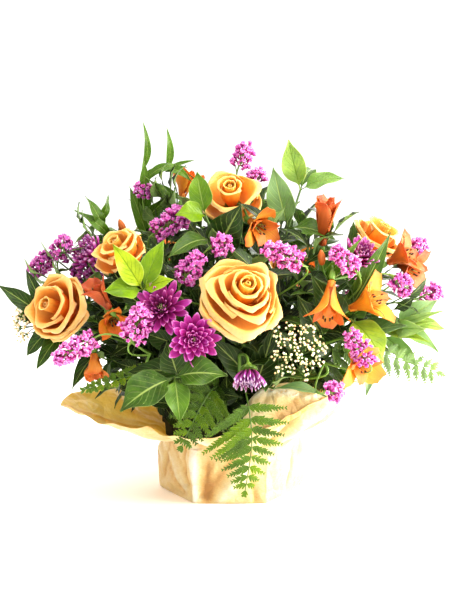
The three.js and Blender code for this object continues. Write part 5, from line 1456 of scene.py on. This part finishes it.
for k, rice in enumerate(riceFlowers):
    makeRice(rice, k)
print("rice flower is done")


# Leafy stems: name, the points it passes, and leaves (root, tip, width, facing, tone)
leafyStems = rowsOf("name via leaves", [
    ("front_left", [(-20, -58, 118), (-40, -125, 138), (-50, -160, 145)], [
        ((-51, -160, 145), (-97, -180, 120), 36, (-0.2, -0.8, 0.6), 0.42),
        ((-49, -160, 146), (-4, -176, 152), 30, (0.1, -0.75, 0.66), 0.4),
        ((-49, -161, 144), (-45, -184, 110), 22, (0.1, -0.9, 0.4), 0.6),
        ((-47, -150, 144), (-56, -158, 176), 24, (0, -1, 0.1), 0.3),
        ((-40, -125, 139), (-92, -140, 146), 24, (0, -0.5, 0.86), 0.24)]),
    ("lime_left", [(-28, -50, 140), (-60, -105, 190), (-79, -136, 220)], [
        ((-79, -137, 221), (-104, -148, 262), 21, (0.1, -0.95, 0.2), 0.96),
        ((-78, -136, 222), (-62, -138, 266), 20, (-0.2, -0.9, -0.1), 0.74),
        ((-80, -137, 220), (-112, -152, 222), 22, (-0.1, -0.85, 0.5), 0.74),
        ((-78, -138, 219), (-52, -148, 232), 15, (0.2, -0.8, 0.5), 0.9)]),
    ("top_right", [(18, -18, 150), (42, -36, 220), (54, -44, 262), (68, -32, 304)], [
        ((68, -32, 304), (56, -32, 352), 23, (-0.2, -0.95, 0.1), 0.82, {"frost": 0.35}),
        ((69, -32, 303), (108, -44, 317), 19, (0.2, -0.7, 0.7), 0.68, {"frost": 0.3}),
        ((69, -30, 304), (80, 8, 326), 18, (0, -0.6, 0.8), 0.5),
        ((56, -43, 266), (42, -54, 326), 26, (-0.2, -0.95, 0.2), 0.5, {"frost": 0.5}),
        ((56, -44, 265), (98, -66, 262), 22, (0, -0.6, 0.8), 0.44)]),
    ("top_centre", [(-6, -26, 150), (-10, -58, 215), (-16, -78, 262), (-24, -72, 284)], [
        ((-13, -70, 250), (10, -98, 292), 34, (0, -0.95, 0.3), 0.22),
        ((-15, -76, 258), (-58, -106, 250), 22, (-0.1, -0.6, 0.8), 0.4),
        ((-22, -73, 282), (-50, -88, 286), 24, (-0.1, -0.8, 0.6), 0.72),
        ((-22, -73, 283), (-30, -66, 324), 22, (-0.2, -0.95, 0.1), 0.66),
        ((-9, -54, 208), (30, -96, 232), 30, (0.1, -0.85, 0.5), 0.3)]),
    ("left", [(-56, -22, 124), (-120, -46, 150), (-176, -56, 182)], [
        ((-174, -56, 181), (-222, -66, 214), 17, (-0.2, -0.8, 0.5), 0.2),
        ((-168, -55, 177), (-198, -62, 150), 19, (-0.2, -0.8, 0.5), 0.34, {"outline": "round"}),
        ((-156, -53, 170), (-184, -88, 142), 16, (0, -0.8, 0.6), 0.28, {"outline": "round"}),
        ((-172, -56, 180), (-196, -50, 228), 14, (-0.1, -0.9, 0.3), 0.22, {"outline": "round"}),
        ((-174, -56, 181), (-206, -54, 186), 14, (-0.1, -0.9, 0.3), 0.26),
        ((-122, -46, 151), (-148, -104, 126), 17, (-0.1, -0.6, 0.8), 0.24)]),
    ("right", [(44, -22, 124), (84, -52, 158), (112, -84, 186)], [
        ((108, -82, 190), (140, -120, 152), 32, (0.4, -0.8, 0.4), 0.84, {"frost": 0.15}),
        ((106, -76, 180), (76, -118, 230), 26, (-0.1, -0.95, 0.2), 0.34),
        ((100, -70, 174), (158, -70, 262), 20, (0.1, -0.9, 0.2), 0.42),
        ((92, -60, 166), (60, -120, 206), 30, (-0.2, -0.9, 0.3), 0.26)]),
    ("right_low", [(56, 4, 124), (116, -6, 146), (168, -8, 166)], [
        ((166, -8, 165), (216, -14, 166), 18, (0.1, -0.6, 0.8), 0.8, {"frost": 0.35}),
        ((164, -9, 164), (206, -34, 150), 17, (0.1, -0.7, 0.7), 0.7, {"frost": 0.5}),
        ((162, -7, 165), (204, -10, 196), 22, (0, -0.9, 0.4), 0.6, {"frost": 0.6}),
        ((158, -8, 163), (188, -44, 172), 18, (0.1, -0.9, 0.3), 0.8, {"frost": 0.6}),
        ((150, -8, 160), (184, -30, 128), 17, (0.2, -0.9, 0.3), 0.7, {"frost": 0.7}),
        ((150, -8, 162), (200, -24, 178), 9, (0.1, -0.8, 0.5), 0.86, {"frost": 0.3}),
        ((154, -8, 162), (210, -28, 184), 8, (0, -0.8, 0.5), 0.8, {"frost": 0.5}),
        ((146, -10, 160), (192, -46, 158), 10, (0.1, -0.8, 0.5), 0.9, {"frost": 0.2}),
        ((134, -8, 153), (136, -66, 112), 24, (0.3, -0.8, 0.5), 0.36, {"frost": 0.7}),
        ((126, -6, 150), (166, -50, 178), 26, (0.1, -0.8, 0.6), 0.4, {"frost": 0.4}),
        ((140, -6, 155), (176, 40, 150), 26, (0.2, 0.2, 0.95), 0.34)]),
    ("front_centre", [(14, -60, 114), (30, -104, 126), (40, -128, 128)], [
        ((40, -128, 128), (86, -150, 128), 12, (0.1, -0.5, 0.85), 0.4, {"frost": 0.6}),
        ((38, -126, 129), (66, -164, 150), 20, (0.2, -0.6, 0.8), 0.22),
        ((31, -106, 127), (30, -150, 134), 18, (0.1, -0.5, 0.86), 0.26),
        ((26, -96, 124), (-18, -130, 176), 24, (-0.1, -0.9, 0.3), 0.2),
        ((22, -86, 121), (40, -130, 186), 26, (0.1, -0.9, 0.4), 0.2)]),
    ("back", [(6, 56, 122), (10, 110, 142), (12, 150, 140)], [
        ((12, 148, 140), (60, 178, 134), 32, (0.1, 0.6, 0.8), 0.4),
        ((11, 146, 141), (-40, 172, 124), 32, (-0.1, 0.6, 0.8), 0.36),
        ((12, 150, 139), (20, 192, 110), 30, (0, 0.8, 0.6), 0.5),
        ((10, 110, 142), (-70, 138, 152), 34, (-0.2, 0.5, 0.86), 0.3),
        ((10, 106, 141), (98, 128, 148), 34, (0.2, 0.5, 0.86), 0.32),
        ((9, 100, 138), (34, 148, 190), 30, (0, 0.9, 0.4), 0.3)]),
])


def makeLeafyStem(stem, seed):
    rng = np.random.default_rng(200 + seed)
    piece = Piece("leaf_spray_" + stem["name"])
    path = stemPath(stem["via"], 30)
    piece.stalk(path, 3.4, 2.0, tone=0.35)
    for leaf in rowsOf("root tip wide face tone", stem["leaves"]):
        addLeaf(piece, leaf, rng, root=nearestOn(path, leaf["root"]))
    piece.finish(["leaf", "stem"], ["leafy_stem_" + stem["name"]], "leaf")


for k, stem in enumerate(leafyStems):
    makeLeafyStem(stem, k)
print("leafy stems are done")


# Filler foliage: sprigs that close the middle of the bouquet on every side, their leaves dark green and
# darkened further as painted shade
filler = {
    "sprigs": 70,
    "leaves": 7,
    "centre": (0, 0, 176),
    "reach": (150, 118, 118),
    "drop": 74,
    "leafLength": (32, 48),
    "leafWidth": (14, 23),
    "seed": 7,
}
# sprigs that lie out over the paper's rim all round, shorter where the paper's front right stays in view
skirt = {
    "sprigs": 30,
    "leaves": 7,
    "reach": 102,
    "height": 104,
    "bare": (280, 344),
    "bareReach": 0.66,
    "leafLength": (26, 40),
    "leafWidth": (12, 19),
    "seed": 9,
}
# sprigs that fill the front left between the big leaves and the paper, and thin places higher up
apron = {
    "ends": [(-58, -104, 96), (-40, -116, 90), (-22, -122, 86), (-4, -122, 88), (-84, -92, 108),
     (-104, -78, 118), (-118, -62, 134), (-96, -84, 132), (-30, -112, 112), (-16, -118, 104),
     (-150, -36, 236), (-134, -30, 258), (-160, -40, 220), (-126, -52, 224), (-118, -50, 196),
     (-66, -50, 92), (-58, -62, 90), (-48, -70, 90), (-74, -38, 94), (-58, -8, 300), (-74, -4, 284),
     (-28, -16, 264), (-138, -26, 268), (-176, -38, 214), (-118, -70, 144), (-124, -58, 160),
     (168, -28, 198), (152, -18, 210), (80, -28, 252), (52, -24, 262), (60, -70, 188), (-66, -6, 308),
     (-52, -6, 300), (-166, -34, 234), (-182, -40, 222), (160, -26, 186), (156, -18, 224), (64, -44, 188)],
    "leaves": 8,
    "leafLength": (20, 32),
    "leafWidth": (10, 16),
    "seed": 15,
}
# sectors where the paper shows: two azimuths, the height below which no leaf ends, and the radius
# from which that holds
bareSectors = [(278, 350, 128, 60), (196, 262, 106, 84)]


def addSprig(piece, look, path, outward, rng):
    piece.stalk(path, 2.6, 1.4, tone=0.3)
    last = look["leaves"] - 1
    for n in range(last + 1):
        share = blend(0.58, 1.0, n / last)
        place = flow(path, share)
        ahead = unit(place - flow(path, share - 0.05))
        side = turnAbout(unit(np.cross(ahead, [0.1, 0.2, 1])), ahead, n * goldenAngle)
        aim = unit(ahead * rng.uniform(0.3, 0.9) + side * (0.9 if n < last else 0.1))
        tip = place + aim * rng.uniform(*look["leafLength"])
        # it ends above the collar's inner face, or above the rim beyond that
        azimuth, away = math.degrees(math.atan2(tip[1], tip[0])) % 360, math.hypot(tip[0], tip[1])
        radius, height = rimAt(np.array([azimuth]))
        neck = paper["neckRadius"] + 5
        collar = min(max((away - neck) / (radius[0] - neck), 0), 1) ** paper["collarCurve"]
        tip[2] = max(tip[2], blend(paper["neckHeight"] + 6, height[0], collar) + 9)
        if any(low < azimuth < high and tip[2] < top and away > near
               for low, high, top, near in bareSectors):
            continue
        # every sprig's leaves get a low tone: partly the darker green of filler foliage, partly painted
        # shade among the flowers
        leaf = {"root": place, "tip": tip, "wide": rng.uniform(*look["leafWidth"]),
                "face": unit(outward + [0, 0, 0.5]), "tone": rng.uniform(0.02, 0.3)}
        addLeaf(piece, leaf, rng, rows=7, cols=5, sag=rng.uniform(0.05, 0.3))


def makeFiller():
    rng = np.random.default_rng(filler["seed"])
    piece = Piece("filler_foliage")
    for k in range(filler["sprigs"]):
        # even directions over a dome that reaches a little below its middle
        z = 1 - 1.45 * (k + 0.5) / filler["sprigs"]
        way = around(math.sqrt(max(0, 1 - z * z)), k * goldenAngle, z)
        reach = np.array([*filler["reach"][:2], filler["reach"][2] if z > 0 else filler["drop"]])
        end = np.array(filler["centre"]) + way * reach * rng.uniform(0.8, 1.0)
        first = np.array([end[0] * 0.34, end[1] * 0.34, blend(110, end[2], 0.3)])
        path = stemPath([first, blend(first, end, 0.6) + [0, 0, 8], end], 18)
        addSprig(piece, filler, path, way, rng)
    rng = np.random.default_rng(skirt["seed"])
    for k in range(skirt["sprigs"]):
        angle = 2 * math.pi * (k + rng.uniform(-0.3, 0.3)) / skirt["sprigs"]
        way = around(1, angle)
        short = skirt["bareReach"] if skirt["bare"][0] < math.degrees(angle) % 360 < skirt["bare"][1] else 1
        end = way * skirt["reach"] * short * rng.uniform(0.85, 1.0)
        end = end + [0, 0, skirt["height"] + rng.uniform(-6, 8)]
        path = stemPath([way * 58 + [0, 0, 112], way * 84 + [0, 0, 114], end], 14)
        addSprig(piece, skirt, path, way, rng)
    piece.finish(["leaf", "stem"], [], "leaf")


def makeApron():
    piece = Piece("front_sprigs")
    rng = np.random.default_rng(apron["seed"])
    for end in np.array(apron["ends"], float):
        way = unit(end * [1, 1, 0])
        first = way * 56 + [0, 0, 110]
        addSprig(piece, apron, stemPath([first, blend(first, end, 0.5) + [0, 0, 12], end], 14), way, rng)
    piece.finish(["leaf", "stem"], [], "leaf")


makeFiller()
makeApron()
print("filler foliage is done")


# Ferns: a rachis with pairs of pinnae, each set with small toothed leaflets
# name, the points it passes, the share of the stem where the blade starts, pairs, reach, the share of that
# reach on either side, the lean on either side, the way the blade faces, tone, width of the band on a rib;
# left and right are as seen by somebody who looks at the face of the frond with its tip down, and the extra
# one is tucked under the front leaves and has no node
ferns = rowsOf("name via from pairs reach left right leanLeft leanRight up tone blade", [
    ("front_hanging", [(6, -62, 116), (11, -112, 128), (16, -146, 117), (19, -160, 84), (13, -166, 42)],
     0.68, 9, 58, 1.0, 0.72, 0.62, 0.24, (0.1, -1, 0.12), 0.66, 3.2),
    ("left", [(-40, -46, 116), (-78, -92, 136), (-134, -134, 128)], 0.5, 16, 19, 1.0, 1.0, 0.6, 0.6,
     (0, -1, 0.4), 0.7, 2.4),
    ("right", [(60, -20, 118), (124, -44, 148), (204, -30, 124)], 0.5, 15, 38, 1.0, 0.9, 0.5, 0.7,
     (0.1, -1, 0.4), 0.7, 3.2, {"taper": 0.66, "frost": 0.42}),
    ("back", [(-36, 52, 118), (-84, 110, 134), (-118, 164, 104)], 0.42, 12, 42, 1.0, 1.0, 0.7, 0.7,
     (-0.2, 0.5, 0.84), 0.5, 4.0),
    ("under_left", [(-4, -62, 114), (-16, -108, 124), (-30, -140, 108), (-44, -152, 80)], 0.55, 8, 46, 1.0,
     1.0, 0.7, 0.7, (0, -1, 0.3), 0.58, 3.2, {"extra": True}),
])
fernLook = {"leaflet": 8.2, "step": 3.0}


def makeLeaflet():
    # a small toothed leaflet of unit length along +Y
    v, u = gridOf(6, 3)
    teeth = np.tile([[0], [1]], (3, 1))
    half = 0.21 * flow([0.8, 1.0, 1.0, 0.9, 0.66, 0.12], v) * (1 + 0.16 * np.abs(u) * teeth)
    part = Piece("fern leaflet")
    part.sheet(np.stack([half * u + 0.08 * v * v, v, 0.06 * np.abs(u) - 0.12 * v * v], -1), 0.05)
    return part.keep()


leaflet = makeLeaflet()


def makeFern(fern, seed):
    rng = np.random.default_rng(240 + seed)
    piece = Piece("fern_" + fern["name"])
    path = stemPath(fern["via"], 40)
    piece.stalk(path, 2.6, 0.9, tone=0.4)
    up = unit(fern["up"])
    guides = []
    pairs, frost = fern["pairs"], fern.get("frost", 0.0)
    # what each side is called and how it leans; the last pinna points straight on
    hands = {-1: ("right", fern["leanRight"]), 0: ("left", 1), 1: ("left", fern["leanLeft"])}
    for k in range(pairs + 1):
        share = k / pairs
        t = blend(fern["from"], 0.99, share**0.78)
        place = flow(path, t)
        ahead = unit(flow(path, t + 0.01) - flow(path, t - 0.02))
        side = unit(np.cross(ahead, up))
        whole = fern["reach"] * (1 - fern.get("taper", 0.88) * share**0.9) * (0.85 if k == 0 else 1)
        for sign in (-1, 1) if k < pairs else (0,):
            hand, lean = hands[sign]
            length = whole * fern[hand] * rng.uniform(0.92, 1.06)
            onward = ahead * (lean + rng.uniform(-0.08, 0.08))
            way = unit(side * sign + onward + up * rng.uniform(-0.1, 0.12))
            tip = place + way * length - up * rng.uniform(0.08, 0.2) * length
            tone = fern["tone"] + rng.uniform(-0.2, 0.12)
            small = 0.6 + 0.4 * length / fern["reach"]
            # a solid band along the rib, which the leaflets grow out of
            wide = fern["blade"] * small
            grid = leafGrid(place, tip, wide, up, "strap", sag=0.1, fold=0.1, wave=0.02, rows=7, cols=3)
            piece.sheet(grid, 0.4, tone=tone - 0.04, shade=frost)
            rib = grid[:, 1]
            steps = max(3, int(length / fernLook["step"]))
            for n in range(steps):
                s = (n + 0.5) / (steps + 0.2)
                onward = unit(flow(rib, s + 0.05) - flow(rib, s - 0.05))
                across = unit(np.cross(onward, up))
                size = fernLook["leaflet"] * small * (1 - 0.66 * s**1.6) * rng.uniform(0.9, 1.08)
                size = min(size, fern["blade"] * 2.4)
                size = (size * 0.86, size, size)
                for edge in (-1, 1):
                    aim = unit(across * edge + onward * 1.25)
                    guides.append((flow(rib, s), aim, up, size, tone + rng.uniform(-0.06, 0.06)))
    piece.mesh(copiesOf(leaflet, guides, "leaf", flutter=0.12, seed=seed), shade=frost)
    piece.finish(["leaf", "stem"], [] if fern.get("extra") else ["fern_frond_" + fern["name"]], "fern")


for k, fern in enumerate(ferns):
    makeFern(fern, k)
print("ferns are done")

for source in sources:
    bpy.data.objects.remove(source)
